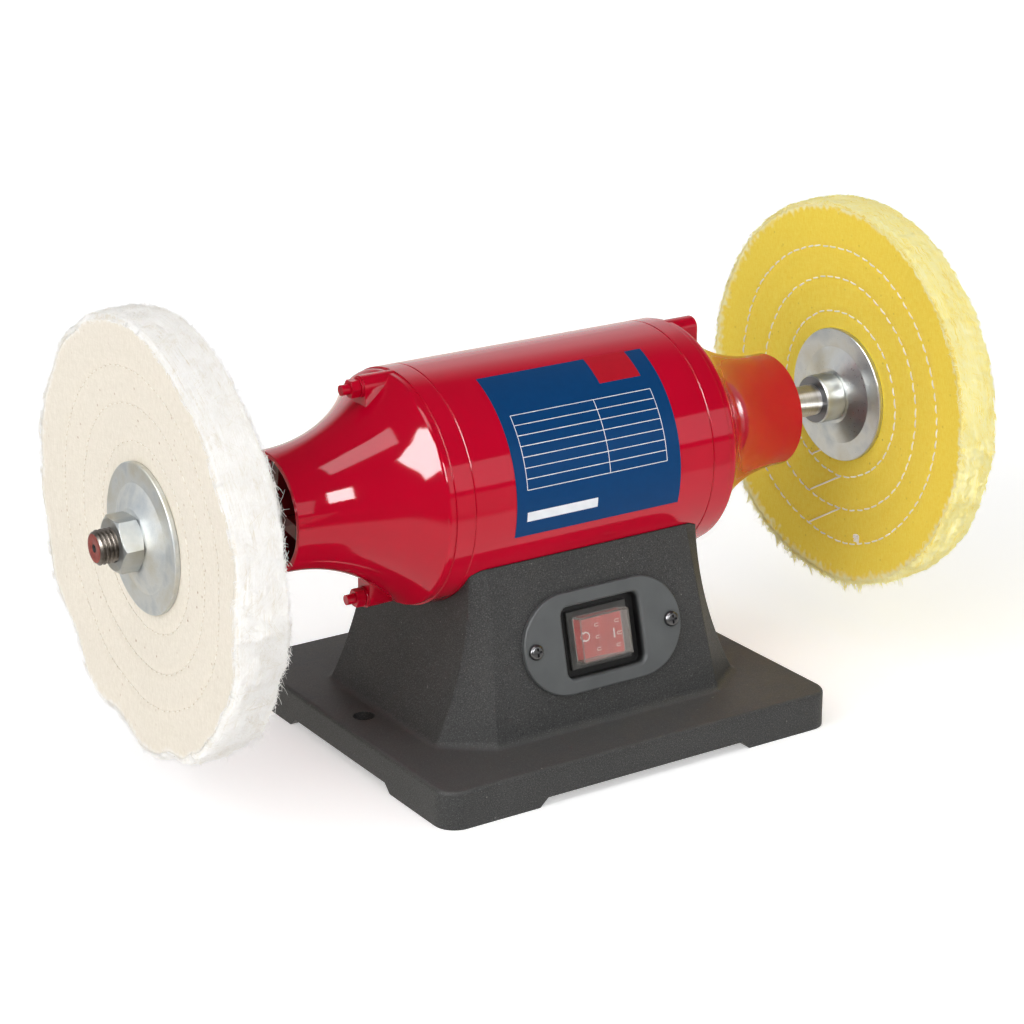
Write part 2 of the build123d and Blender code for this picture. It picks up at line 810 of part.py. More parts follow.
def end_bell(seat_depth, closed):
    """Right-hand end bell, with a bearing seat of the depth given and lugs drilled through or closed."""
    mouth_r = neck_d / 2 - neck_mouth_wall
    start = diaphragm_start()
    seat_r = bearing_d / 2
    hub_end = start + bearing_width + preload_washer + hub_wall
    bell = bell_blank() + bell_lugs(closed) - bell_cavity()
    bell -= ring(start + diaphragm, neck_end, 0, 2 * mouth_r)
    bell += ring(start, hub_end, 0, 2 * (seat_r + hub_wall))
    bell += ring(start, neck_end - nose_setback, 0, nose_d)
    bell += neck_ribs()
    bell -= ring(start, start + seat_depth, 0, bearing_d)
    bell -= ring(start, neck_end, 0, nose_d - 2 * nose_wall)
    hole_d = tie_d if closed else tie_d + 2 * bolt_hole_clearance
    hole_end = lug_face() - tie_blind_wall if closed else neck_end
    return bell - [rod(0, hole_end, hole_d, z=side * tie_circle_r) for side in (-1, 1)]


# Tie bolts

def tie_bolts():
    """Two long studs, screwed into the closed lugs on the right."""
    start_x = -(lug_face() + tie_washer + tie_nut + tie_end)
    end_x = lug_face() - tie_blind_wall - tie_tip_room
    return [rod(start_x, end_x, tie_d, z=side * tie_circle_r) for side in (-1, 1)]


def tie_bolt_washers():
    x = -lug_face() - tie_washer
    washers = []
    for side in (-1, 1):
        disc = rod(x, x + tie_washer, tie_washer_d, z=side * tie_circle_r)
        washers.append(disc - rod(x, x + tie_washer, tie_d + 2 * running_fit, z=side * tie_circle_r))
    return washers


def tie_bolt_nuts():
    nuts = []
    for side in (-1, 1):
        z = spindle_height + side * tie_circle_r
        place = Plane((-lug_face() - tie_washer, 0, z), x_dir=(0, 1, 0), z_dir=(-1, 0, 0)).location
        nuts.append(place * hex_prism(tie_nut_af, tie_nut, tie_d))
    return nuts


# Ball bearings, made on the right-hand end

def pitch_r():
    """Radius of the circle of ball centres."""
    return (bearing_bore + bearing_d) / 4


def race_groove():
    """Ring that the balls run in."""
    groove = Torus(pitch_r(), ball_d / 2 + race_clearance)
    return Pos(bearing_x, 0, spindle_height) * Rot(0, 90, 0) * groove


def bearing_inner_ring():
    start = bearing_x - bearing_width / 2
    return ring(start, start + bearing_width, bearing_bore, bearing_bore + 2 * race_wall) - race_groove()


def bearing_outer_ring():
    start = bearing_x - bearing_width / 2
    return ring(start, start + bearing_width, bearing_d - 2 * race_wall, bearing_d) - race_groove()


def ball_places():
    """Ball centres about the spindle axis."""
    return [across(bearing_x).location * place for place in PolarLocations(pitch_r(), ball_count)]


def bearing_balls():
    return [place * Sphere(ball_d / 2) for place in ball_places()]


def bearing_cage():
    half = cage_width / 2
    mean_d = 2 * pitch_r()
    cage = ring(bearing_x - half, bearing_x + half, mean_d - cage_wall, mean_d + cage_wall)
    pocket = Rot(0, 90, 0) * Cylinder(ball_d / 2 + race_clearance, 2 * cage_wall)
    return cage - [place * pocket for place in ball_places()]


def bearing_shields():
    inner_d = bearing_bore + 2 * race_wall + 2 * shield_gap
    outer_d = bearing_d - 2 * race_wall
    reach = bearing_width / 2 - shield_inset
    return [ring(bearing_x + reach - shield, bearing_x + reach, inner_d, outer_d),
            ring(bearing_x - reach, bearing_x - reach + shield, inner_d, outer_d)]


def preload_ring():
    """Spring washer behind the right-hand bearing."""
    return ring(seat_end, seat_end + preload_washer, bearing_d - 4 * race_wall, bearing_d - 2 * slip_fit)


# Spindle and what is clamped on it, made on the right-hand end

def spindle():
    """Stepped spindle with a centre hole in each end."""
    end_r = spindle_d / 2
    centre_r = centre_hole_d / 2
    half = [(shaft_shoulder, rotor_seat_d / 2), (shaft_shoulder, bearing_bore / 2),
            (seat_end + preload_washer, bearing_bore / 2), (seat_end + preload_washer, end_r),
            (spindle_end - spindle_chamfer, end_r), (spindle_end, end_r - spindle_chamfer),
            (spindle_end, centre_hole_mouth_d / 2),
            (spindle_end - centre_hole_depth / 3, centre_r),
            (spindle_end - centre_hole_depth * 2 / 3, centre_r),
            (spindle_end - centre_hole_depth, 0)]
    return turned(*[(-x, r) for x, r in reversed(half)], *half)


def collar():
    start, end = collar_start, flange_back
    outer, inner = collar_d / 2, spindle_d / 2
    return turned((start, inner), (start, outer - collar_chamfer), (start + collar_chamfer, outer),
                  (end - collar_chamfer / 2, outer), (end, outer - collar_chamfer / 2), (end, inner))


def dished_flange(cloth_face, outward):
    """Pressed steel flange whose middle is dished away from the cloth, along outward."""
    rim_r, dish_r, boss_r, bore_r = flange_d / 2, flange_dish_d / 2, flange_boss_d / 2, spindle_d / 2
    near = [(0, rim_r), (0, dish_r), (flange_dish, boss_r), (flange_dish, bore_r)]
    far = [(x + flange_sheet, r) for x, r in reversed(near)]
    flange = turned(*[(cloth_face + outward * x, r) for x, r in near + far])
    rims = [edge for edge in flange.edges().filter_by(GeomType.CIRCLE) if abs(edge.radius - rim_r) < 0.01]
    return fillet(rims, flange_sheet / 5)


def inner_flange():
    return dished_flange(wheel_face, -1)


def outer_flange():
    return dished_flange(wheel_face + wheel_hub, 1)


def spindle_nut():
    return across(nut_face).location * hex_prism(nut_af, nut_height, spindle_d)


def buff_wheel():
    """Sewn cloth buff: tight between the flanges, fanning out to a thicker rounded rim."""
    middle = wheel_face + wheel_hub / 2
    hub, rim = wheel_hub / 2, wheel_rim / 2
    bore_r, hub_r, rim_r = spindle_d / 2, flange_d / 2 + wheel_flat, wheel_d / 2
    fan_r = rim_r - 2 * wheel_rim_r
    half = [(hub, bore_r), (hub, hub_r), (rim, fan_r), (rim, rim_r)]
    wheel = turned(*[(middle - x, r) for x, r in half], *[(middle + x, r) for x, r in reversed(half)])
    rims = [edge for edge in wheel.edges().filter_by(GeomType.CIRCLE) if abs(edge.radius - rim_r) < 0.01]
    return fillet(rims, wheel_rim_r)


# Switch, in the plane of the sloping front face

def switch_plane():
    return face_plane(-1, switch_x, switch_rise)


def switch_plate():
    """Obround plate with a sunk well for the switch."""
    plate = extrude(SlotOverall(plate_width, plate_height), plate_sheet)
    plate = fillet(plate.faces().sort_by(Axis.Z)[-1].edges(), plate_edge_r)
    grow = 2 * well_wall
    shell = RectangleRounded(well_width + grow, well_height + grow, well_corner_r + well_wall)
    plate += extrude(shell, -well_floor - well_wall)
    well = RectangleRounded(well_width, well_height, well_corner_r)
    plate -= prism(well, -well_floor, plate_sheet)
    mouth = plate.faces().sort_by(Axis.Z)[-1].inner_wires()[0]
    plate = fillet(mouth.edges(), well_mouth_r)
    opening = Rectangle(switch_body_width + 2 * slip_fit, switch_body_height + 2 * slip_fit)
    plate -= prism(opening, -well_floor - well_wall, 0)
    hole = Circle(pan_screw_d / 2 + bolt_hole_clearance)
    plate -= [Pos(side * plate_screw_spacing / 2, 0) * extrude(hole, plate_sheet) for side in (-1, 1)]
    return switch_plane().location * plate


def switch_plate_screws():
    place = switch_plane().location
    screw = pan_screw(plate_sheet + wall_through)
    return [place * Pos(side * plate_screw_spacing / 2, 0, plate_sheet) * screw for side in (-1, 1)]


def switch_body():
    """Switch moulding: bezel, body and the cavity that the rocker swings in."""
    bezel = prism(Rectangle(bezel_width, bezel_height), -well_floor, bezel_face)
    bezel = chamfer(bezel.faces().sort_by(Axis.Z)[-1].edges(), bezel_chamfer)
    case = Rectangle(switch_body_width, switch_body_height)
    body = bezel + prism(case, -well_floor - switch_body_depth, -well_floor)
    cavity = Rectangle(rocker_cavity_width, rocker_cavity_height)
    body -= prism(cavity, bezel_face - rocker_cavity_depth, bezel_face)
    pivot = Plane((0, 0, pivot_level), x_dir=(1, 0, 0), z_dir=(0, 1, 0))
    body -= extrude(pivot * Circle(rocker_pin_d / 2 + running_fit), switch_body_height, both=True)
    return switch_plane().location * body


def switch_terminals():
    place = switch_plane().location
    blade = Rectangle(blade_width, blade_thickness)
    back = -well_floor - switch_body_depth
    return [place * prism(Pos(x, y) * blade, back - blade_length, back)
            for x in (-blade_x, blade_x) for y in (-blade_y, blade_y)]


def switch_rocker():
    """Rocker with a shallow V face, tipped to its off side, on two pivot pins."""
    ridge = bezel_face + rocker_half * math.tan(math.radians(rocker_throw))
    low = bezel_face - rocker_keel_depth
    outline = Polyline((-rocker_half, 0, ridge), (0, 0, bezel_face), (rocker_half, 0, ridge),
                       (rocker_half, 0, ridge - rocker_skirt), (rocker_keel_half, 0, low),
                       (-rocker_keel_half, 0, low), (-rocker_half, 0, ridge - rocker_skirt), close=True)
    rocker = extrude(make_face(outline), rocker_height / 2, both=True)
    pivot = Plane((0, 0, pivot_level), x_dir=(1, 0, 0), z_dir=(0, 1, 0))
    rocker += extrude(pivot * Circle(rocker_pin_d / 2), rocker_height / 2 + rocker_pin_reach, both=True)
    tip = Pos(0, 0, pivot_level) * Rot(0, -rocker_throw, 0) * Pos(0, 0, -pivot_level)
    return switch_plane().location * tip * rocker


def switch_boot():
    """Clear splash cover standing on the bezel, with room for the rocker to swing."""
    cap = prism(Rectangle(boot_width, boot_height), bezel_face, bezel_face + boot_rise)
    outer_edges = cap.faces().sort_by(Axis.Z)[-1].edges() + cap.edges().filter_by(Axis.Z)
    cap = fillet(outer_edges, boot_edge_r)
    inside = Rectangle(boot_width - 2 * boot_wall, boot_height - 2 * boot_wall)
    cap -= prism(inside, bezel_face, bezel_face + boot_rise - boot_wall)
    return switch_plane().location * cap


# Cable gland on the back face

def cable_gland():
    """Gland body through the back wall with a domed cap, bored for the mains cord."""
    cap_start = gland_hex + gland_neck
    body = extrude(Circle(gland_thread_d / 2), -gland_inside) + hex_prism(gland_af, gland_hex)
    body += prism(Circle(gland_neck_d / 2), gland_hex, cap_start)
    side, mouth = gland_cap_d / 2, gland_cap_mouth_d / 2
    dome = ThreePointArc((side, 0, cap_start + gland_cap / 2), (side - 1, 0, cap_start + gland_cap * 0.82),
                         (mouth, 0, cap_start + gland_cap))
    sides = Polyline((mouth, 0, cap_start + gland_cap), (0, 0, cap_start + gland_cap), (0, 0, cap_start),
                     (side, 0, cap_start), (side, 0, cap_start + gland_cap / 2))
    body += revolve(make_face([dome, sides]), Axis.Z)
    body -= prism(Circle(gland_bore / 2), -gland_inside, cap_start + gland_cap)
    return face_plane(1, gland_x, gland_rise).location * body


def gland_locknut():
    nut = Pos(0, 0, -wall_through - gland_nut) * hex_prism(gland_af, gland_nut, gland_thread_d)
    return face_plane(1, gland_x, gland_rise).location * nut


# Internal leads in the base

def lead(*points):
    """Round lead along straight runs with rounded bends."""
    path = FilletPolyline(*points, radius=lead_bend)
    return sweep((path ^ 0) * Circle(lead_d / 2), path=path)


def from_blade(x, y):
    """First two points of a lead that leaves a switch blade straight."""
    back = -well_floor - switch_body_depth - blade_length
    spots = [switch_plane().from_local_coords((x, y, back - step)) for step in (0, 2 * lead_bend)]
    return [(spot.X, spot.Y, spot.Z) for spot in spots]


def internal_leads():
    """Leads from the switch and the capacitor to the terminal block, and up through the grommet."""
    ways = block_way_places()
    way_level = cover_top + block_height * 0.6
    near, far = block_y - block_depth / 2, block_y + block_depth / 2
    clear_y = capacitor_y - capacitor_d / 2 + lead_bend
    post_x = -capacitor_length / 2 - capacitor_post
    post_y = capacitor_post_spacing / 2
    left_x, right_x = grommet_x - lead_spacing / 2, grommet_x + lead_spacing / 2
    motor_level = spindle_height - stator_bore / 2
    turn_y = near - 3 * lead_bend
    switch_to_block = lead(*from_blade(-blade_x, -blade_y), (ways[0], turn_y, way_level),
                           (ways[0], near + lead_bare, way_level))
    switch_to_motor = lead(*from_blade(blade_x, -blade_y), (left_x, grommet_y, lead_level),
                           (left_x, grommet_y, motor_level))
    block_to_motor = lead((ways[3], far - lead_bare, way_level), (ways[3], clear_y, way_level),
                          (ways[3], clear_y, lead_level), (right_x, clear_y, lead_level),
                          (right_x, grommet_y, lead_level), (right_x, grommet_y, motor_level))
    capacitor_leads = [lead((post_x, capacitor_y + side * post_y, capacitor_level()),
                            (way, capacitor_y + side * post_y, capacitor_level()),
                            (way, capacitor_y + side * post_y, way_level), (way, far - lead_bare, way_level))
                       for side, way in ((-1, ways[2]), (1, ways[1]))]
    coil_r = math.hypot(stator_bore / 2 + slot_lip + slot_depth - slot_liner, slot_width / 2)
    coil = rod(0, seam, 2 * coil_r)
    return [switch_to_block, switch_to_motor - coil, block_to_motor - coil] + capacitor_leads


# Sticker

def rating_label():
    """Thin sticker wrapped round the front of the motor body."""
    low_x, high_x = label_x - label_width / 2, label_x + label_width / 2
    top_r = body_r + label_sheet
    corners = [(low_x, body_r), (low_x, top_r), (high_x, top_r), (high_x, body_r)]
    strip = make_face(Polyline(*[on_axis(corner) for corner in corners], close=True))
    return revolve(strip.rotate(spindle_axis, 90 - label_high), spindle_axis, label_high - label_low)


def write(node, *pieces):
    """Saves the solids of one node."""
    solids = [solid for piece in pieces for solid in piece.solids()]
    export_step(solids[0] if len(solids) == 1 else Compound(children=solids), f"parts/{node}.step")


def write_ends(name, piece):
    """Saves a piece of the right-hand end and its mirror image on the left."""
    for side, solid in zip(("right", "left"), both_sides(piece)):
        write(f"{side}_{name}", solid)


os.makedirs("parts", exist_ok=True)
write("base_casting", base_casting())
write("bottom_cover", bottom_cover())
write("bottom_cover_screws", *bottom_cover_screws())
write("capacitor", capacitor())
write("capacitor_clip", capacitor_clip())
write("capacitor_clip_screws", *capacitor_clip_screws())
write("capacitor_clip_nuts", *capacitor_clip_nuts())
write("terminal_block", terminal_block())
write("terminal_block_screws", *terminal_block_screws())
write("earth_screw", earth_screw())
write("wire_grommet", wire_grommet())
write("motor_mount_bolts", *motor_mount_bolts())
write("motor_mount_washers", *motor_mount_washers())
write("motor_weld_nuts", *weld_nuts())
write("motor_housing", motor_housing())
write("stator_core", stator_core())
write("stator_windings", stator_windings())
write("rotor_core", rotor_core())
write("rotor_cage", rotor_cage())
write("left_end_bell", mirror(end_bell(bearing_width, False), about=Plane.YZ))
write("right_end_bell", end_bell(bearing_width + preload_washer, True))
write("tie_bolts", *tie_bolts())
write("tie_bolt_washers", *tie_bolt_washers())
write("tie_bolt_nuts", *tie_bolt_nuts())
write_ends("bearing_inner_ring", bearing_inner_ring())
write_ends("bearing_outer_ring", bearing_outer_ring())
write_ends("bearing_cage", bearing_cage())
write_ends("bearing_balls", Compound(children=bearing_balls()))
write_ends("bearing_shields", Compound(children=bearing_shields()))
write("preload_washer", preload_ring())
write("spindle", spindle())
write_ends("collar", collar())
write_ends("inner_flange", inner_flange())
write_ends("outer_flange", outer_flange())
write_ends("spindle_nut", spindle_nut())
write_ends("buff_wheel", buff_wheel())
write("switch_plate", switch_plate())
write("switch_plate_screws", *switch_plate_screws())
write("switch_body", switch_body())
write("switch_terminals", *switch_terminals())
write("switch_rocker", switch_rocker())
write("switch_boot", switch_boot())
write("cable_gland", cable_gland())
write("gland_locknut", gland_locknut())
write("internal_leads", *internal_leads())
write("rating_label", rating_label())
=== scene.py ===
"""Looks of the bench buffer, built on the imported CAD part."""
import json
import math

import bpy
import numpy as np
from mathutils import Matrix, Vector


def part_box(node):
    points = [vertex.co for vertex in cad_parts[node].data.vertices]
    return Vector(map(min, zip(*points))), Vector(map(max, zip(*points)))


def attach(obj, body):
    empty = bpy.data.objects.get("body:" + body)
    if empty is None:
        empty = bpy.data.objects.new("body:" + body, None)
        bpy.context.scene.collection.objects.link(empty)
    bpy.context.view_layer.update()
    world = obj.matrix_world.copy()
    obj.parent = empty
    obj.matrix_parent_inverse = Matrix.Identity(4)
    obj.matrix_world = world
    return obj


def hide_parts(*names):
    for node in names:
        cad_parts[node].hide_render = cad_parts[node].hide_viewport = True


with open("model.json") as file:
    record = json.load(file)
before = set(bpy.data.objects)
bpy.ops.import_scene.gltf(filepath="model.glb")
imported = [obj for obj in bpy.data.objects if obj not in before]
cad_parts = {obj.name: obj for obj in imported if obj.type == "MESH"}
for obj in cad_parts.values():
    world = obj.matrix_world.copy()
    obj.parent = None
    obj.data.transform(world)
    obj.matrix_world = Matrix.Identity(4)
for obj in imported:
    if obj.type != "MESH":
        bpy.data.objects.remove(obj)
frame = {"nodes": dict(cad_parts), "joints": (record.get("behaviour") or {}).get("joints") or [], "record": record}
nodes = frame["nodes"]
joints = {joint["name"]: joint for joint in frame["joints"]}
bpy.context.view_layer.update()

# Sizes of pieces in millimetres; a buff's angles run from the front upwards

MM = 0.001
ENDS = ("left", "right")
SPINDLE_Z = joints["spindle_spin"]["pos_m"][2] / MM
LABEL_R = 57.25
PRINT_R = LABEL_R + 0.02
BUFF_R = 100.0
STITCH_RINGS = (44.0, 61.5, 78.5)
# Tones along each stitch: low at both ends as painted shade where the thread dives into the cloth.
STITCH_END_SHADE = (0.0, 0.35, 0.8, 0.85, 0.8, 0.35, 0.0)
FRAYED_TURN = 215.0
THREAD_SIDE = np.array([1.0, 0.2, 0.3])
WHITE = (1.0, 1.0, 1.0, 1.0)


# Node helpers

class Shading:
    """Nodes of one material or world, added by short calls that return sockets."""

    def __init__(self, owner):
        owner.use_nodes = True
        self.owner = owner
        self.nodes = owner.node_tree.nodes
        self.shader = self.nodes.get("Principled BSDF")

    def feed(self, target, value):
        """Links a socket to the target, or sets the target to a plain value."""
        if isinstance(value, bpy.types.NodeSocket):
            self.owner.node_tree.links.new(value, target)
        else:
            target.default_value = value

    def fill(self, node, **values):
        """Feeds a node's sockets by name, with underscores for spaces."""
        for name, value in values.items():
            self.feed(node.inputs[name.replace("_", " ")], value)

    def add(self, kind, **values):
        """New node of one kind, with some of its sockets fed."""
        node = self.nodes.new("ShaderNode" + kind)
        self.fill(node, **values)
        return node

    def surface(self, **values):
        """Feeds the main shader's sockets by name."""
        self.fill(self.shader, **values)

    def cover(self, share, tone):
        """Lays a tone over the main shader's colour by a share."""
        under = self.shader.inputs["Base Color"].links[0].from_socket
        self.surface(Base_Color=self.mix(share, under, tone))

    def place(self, scale=(1.0, 1.0, 1.0)):
        """Position on the piece in metres, stretched by scale."""
        coordinates = self.add("TexCoord")
        return self.add("Mapping", Vector=coordinates.outputs["Object"], Scale=scale).outputs["Vector"]

    def noise(self, place, scale, detail=4.0, roughness=0.55):
        """Noise of about 1/scale metres."""
        made = self.add("TexNoise", Vector=place, Scale=scale, Detail=detail, Roughness=roughness)
        return made.outputs["Fac"]

    def tone_and_shade(self):
        """The stored value of tone and painted shade that a mesh carries."""
        stored = self.add("Attribute")
        stored.attribute_name = "tone_and_shade"
        return stored.outputs["Fac"]

    def ramp(self, level, *stops):
        """Colours along a 0 to 1 level."""
        ramp = self.add("ValToRGB", Fac=level)
        elements = ramp.color_ramp.elements
        while len(elements) < len(stops):
            elements.new(0.5)
        for element, (position, tint) in zip(elements, stops):
            element.position = position
            element.color = tint
        return ramp.outputs["Color"]

    def mask(self, level, *stops):
        """Greys along a 0 to 1 level."""
        return self.ramp(level, *((position, (grey, grey, grey, 1.0)) for position, grey in stops))

    def shades(self, level, dark, light):
        """Two tones over the middle of a noise level."""
        return self.ramp(level, (0.3, dark), (0.7, light))

    def mottle(self, scale, detail, dark, light):
        """Two tones in soft patches of about 1/scale metres."""
        return self.shades(self.noise(self.place(), scale, detail), dark, light)

    def mix(self, share, first, second):
        """Mixes two colours, each a socket or a value."""
        mix = self.add("Mix")
        mix.data_type = "RGBA"
        for at, value in ((0, share), (6, first), (7, second)):
            self.feed(mix.inputs[at], value)
        return mix.outputs[2]

    def maths(self, operation, first, second=0.0, clamp=False):
        """One arithmetic step on sockets or values."""
        step = self.add("Math")
        step.operation = operation
        step.use_clamp = clamp
        for target, value in zip(step.inputs, (first, second)):
            self.feed(target, value)
        return step.outputs[0]

    def times(self, first, second):
        """Product of sockets or values."""
        return self.maths("MULTIPLY", first, second)

    def span(self, value, low, high, to_low=0.0, to_high=1.0):
        """Straight-line range from low..high to to_low..to_high, held at its ends."""
        return self.add("MapRange", Value=value, From_Min=low, From_Max=high, To_Min=to_low,
                        To_Max=to_high).outputs["Result"]

    def split(self, vector):
        """X, Y and Z of a vector."""
        return tuple(self.add("SeparateXYZ", Vector=vector).outputs)

    def facing(self):
        """X, Y and Z of the way that the surface faces."""
        return self.split(self.add("NewGeometry").outputs["Normal"])

    def soft_edges(self, radius):
        """Normal with edges rounded to a radius in metres."""
        bevel = self.add("Bevel", Radius=radius)
        bevel.samples = 4
        return bevel.outputs["Normal"]

    def bump(self, height, distance, strength, under=None):
        """Relief of about distance metres on the main shader, over another normal where one is given."""
        bump = self.add("Bump", Height=height, Distance=distance, Strength=strength)
        if under is not None:
            self.fill(bump, Normal=under)
        self.surface(Normal=bump.outputs["Normal"])
        return bump.outputs["Normal"]

    def seen_plainly(self, path):
        """1 for what the camera sees directly or through clear pieces."""
        return self.maths("MAXIMUM", path.outputs["Is Camera Ray"], path.outputs["Is Transmission Ray"])

    def choose(self, choice, first, second):
        """The second shader where choice is 1, else the first."""
        mix = self.add("MixShader", Fac=choice)
        self.feed(mix.inputs[1], first)
        self.feed(mix.inputs[2], second)
        return mix.outputs["Shader"]


def new_look(name):
    """Empty principled material."""
    return Shading(bpy.data.materials.new(name))


def rgb(red, green, blue):
    """Linear colour from the 0 to 255 values that a screen shows."""
    def linear(level):
        share = level / 255
        return share / 12.92 if share <= 0.04045 else ((share + 0.055) / 1.055) ** 2.4
    return (linear(red), linear(green), linear(blue), 1.0)


def darker(tone, share):
    """The same colour at a share of its brightness."""
    return (*(level * share for level in tone[:3]), 1.0)


# Materials

def red_paint():
    """Glossy enamel with a faint orange peel, with painted shade inside the mouths of the necks."""
    look = new_look("red_enamel")
    place = look.place()
    coat = look.shades(look.noise(place, 18.0, 2.0), rgb(187, 2, 38), rgb(195, 3, 41))
    _, y, z = look.split(place)
    height = look.maths("SUBTRACT", z, SPINDLE_Z * MM)
    squares = [look.times(side, side) for side in (y, height)]
    radius = look.maths("SQRT", look.maths("ADD", *squares))
    inside_r, outside_r = 0.0259, 0.0267
    # Painted shade: the colour goes dark maroon inside the necks' mouths, where shade falls.
    mouth_shade = look.span(radius, inside_r, outside_r, 0.9, 0.0)
    shaded_coat = look.mix(mouth_shade, coat, rgb(52, 16, 14))
    look.surface(Base_Color=shaded_coat, Roughness=0.07, Specular_IOR_Level=0.45)
    peel = look.noise(place, 300.0, 2.0)
    look.bump(peel, 0.00003, 0.25, look.soft_edges(0.0005))
    return look


def charcoal_casting():
    """Grainy powder coat over a sand casting, with painted light that makes upward faces lighter, dusty on top
    towards the back and the right.
    """
    look = new_look("charcoal_casting")
    place = look.place()
    broad = look.noise(place, 30.0, 5.0, 0.6)
    base = look.shades(broad, rgb(56, 57, 57), rgb(63, 63, 63))
    grain = look.noise(place, 1900.0, 2.0, 0.6)
    pits = look.mask(grain, (0.3, 1.0), (0.47, 0.0))
    pitted = look.mix(pits, base, rgb(42, 42, 42))
    flecks = look.mask(grain, (0.55, 0.0), (0.74, 0.7))
    speckled = look.mix(flecks, pitted, rgb(112, 112, 111))
    _, _, upward = look.facing()
    # Painted light: upward faces are lifted towards a light grey, as if more light fell on them.
    top_light_share = look.times(look.span(upward, 0.5, 0.95), 0.42)
    top_lit = look.mix(top_light_share, speckled, rgb(96, 97, 97))
    dust = look.noise(place, 75.0, 6.0, 0.7)
    patches = look.mask(dust, (0.4, 0.03), (0.75, 0.5))
    x, y, _ = look.split(place)
    far = look.span(look.maths("ADD", x, y), -0.16, 0.1, 0.25, 1.0)
    settled = look.times(look.maths("MULTIPLY", upward, patches, clamp=True), far)
    dusted = look.mix(settled, top_lit, rgb(100, 92, 80))
    lint = look.noise(place, 520.0, 2.0, 0.5)
    specks = look.mask(lint, (0.745, 0.0), (0.79, 0.8))
    linty = look.mix(specks, dusted, rgb(140, 138, 132))
    look.surface(Base_Color=linty, Roughness=0.55, Specular_IOR_Level=0.25)
    lumps = look.noise(place, 300.0, 3.0, 0.6)
    under = look.bump(lumps, 0.0004, 0.35, look.soft_edges(0.0008))
    look.bump(grain, 0.0002, 0.7, under)
    return look


def zinc_plate(name, tone, smooth, rough):
    """Zinc plating with faint blue and straw stains, darkened by tone, its roughness in specks."""
    look = new_look(name)
    place = look.place()
    patch = look.noise(place, 55.0, 3.0)
    stains = ((0.28, (182, 190, 197)), (0.5, (215, 217, 215)), (0.74, (205, 200, 184)))
    stained = look.ramp(patch, *((at, rgb(*(tone * level for level in tint))) for at, tint in stains))
    specks = look.noise(place, 1400.0, 2.0)
    sheen = look.mask(specks, (0.3, smooth), (0.7, rough))
    look.surface(Base_Color=stained, Roughness=sheen, Metallic=1.0)
    look.bump(specks, 0.00001, 0.2, look.soft_edges(0.0003))
    return look


def collar_zinc():
    """Bright zinc with a dull turned end, found by how far the surface faces along the spindle."""
    look = zinc_plate("collar_zinc", 0.96, 0.3, 0.42)
    along, _, _ = look.facing()
    end = look.span(look.maths("ABSOLUTE", along), 0.9, 0.98)
    look.cover(end, rgb(128, 129, 132))
    return look


def ground_steel():
    """Spindle steel, ground round its axis, so that reflections smear along it."""
    look = new_look("ground_steel")
    lines = look.noise(look.place((900.0, 20.0, 20.0)), 1.0, 3.0)
    tones = look.shades(lines, rgb(196, 194, 192), rgb(220, 219, 218))
    round_axis = look.add("Tangent")
    round_axis.direction_type = "RADIAL"
    round_axis.axis = "X"
    look.surface(Base_Color=tones, Metallic=0.85, Roughness=0.4, Anisotropic=1.0, Anisotropic_Rotation=0.25,
                 Tangent=round_axis.outputs["Tangent"])
    look.bump(lines, 0.00001, 0.1)
    return look


def dark_thread_steel():
    """Oily dark steel of the rolled threads."""
    look = new_look("thread_steel")
    tones = look.mottle(260.0, 4.0, rgb(86, 80, 74), rgb(140, 133, 126))
    look.surface(Base_Color=tones, Metallic=1.0, Roughness=0.4)
    return look


def marking_paint():
    """Red-brown marking paint on the spindle ends."""
    look = new_look("marking_paint")
    patch = look.noise(look.place(), 700.0, 4.0)
    look.surface(Base_Color=look.shades(patch, rgb(116, 44, 36), rgb(158, 66, 54)), Roughness=0.5)
    look.bump(patch, 0.0001, 0.4)
    return look


def cloth(name, pale, deep, frayed, fleck, fleck_share):
    """Woven cotton: slubby threads, a fine weave and seed flecks, paler where the edge is frayed."""
    look = new_look(name)
    slub = look.noise(look.place((1.0, 6.0, 1.2)), 260.0, 4.0, 0.6)
    weft = look.noise(look.place((1.0, 1.2, 6.0)), 260.0, 3.0, 0.6)
    woven = look.mix(0.35, slub, weft)
    base = look.ramp(woven, (0.3, deep), (0.68, pale))
    cells = look.add("TexVoronoi", Vector=look.place(), Scale=150.0)
    dots = look.mask(cells.outputs["Distance"], (0.05, 1.0), (0.12, 0.0))
    chance, _, _ = look.split(cells.outputs["Color"])
    rare = look.span(chance, 1.0 - fleck_share, 1.0, 0.2, 0.9)
    flecked = look.mix(look.times(dots, rare), base, fleck)
    look.surface(Base_Color=look.mix(look.tone_and_shade(), flecked, frayed), Roughness=0.9, Sheen_Weight=0.1,
                 Sheen_Roughness=0.5, Specular_IOR_Level=0.2)
    weave = look.noise(look.place((1.0, 1.0, 1.5)), 1300.0, 2.0)
    under = look.bump(woven, 0.0003, 0.25)
    look.bump(weave, 0.0002, 0.4, under)
    return look


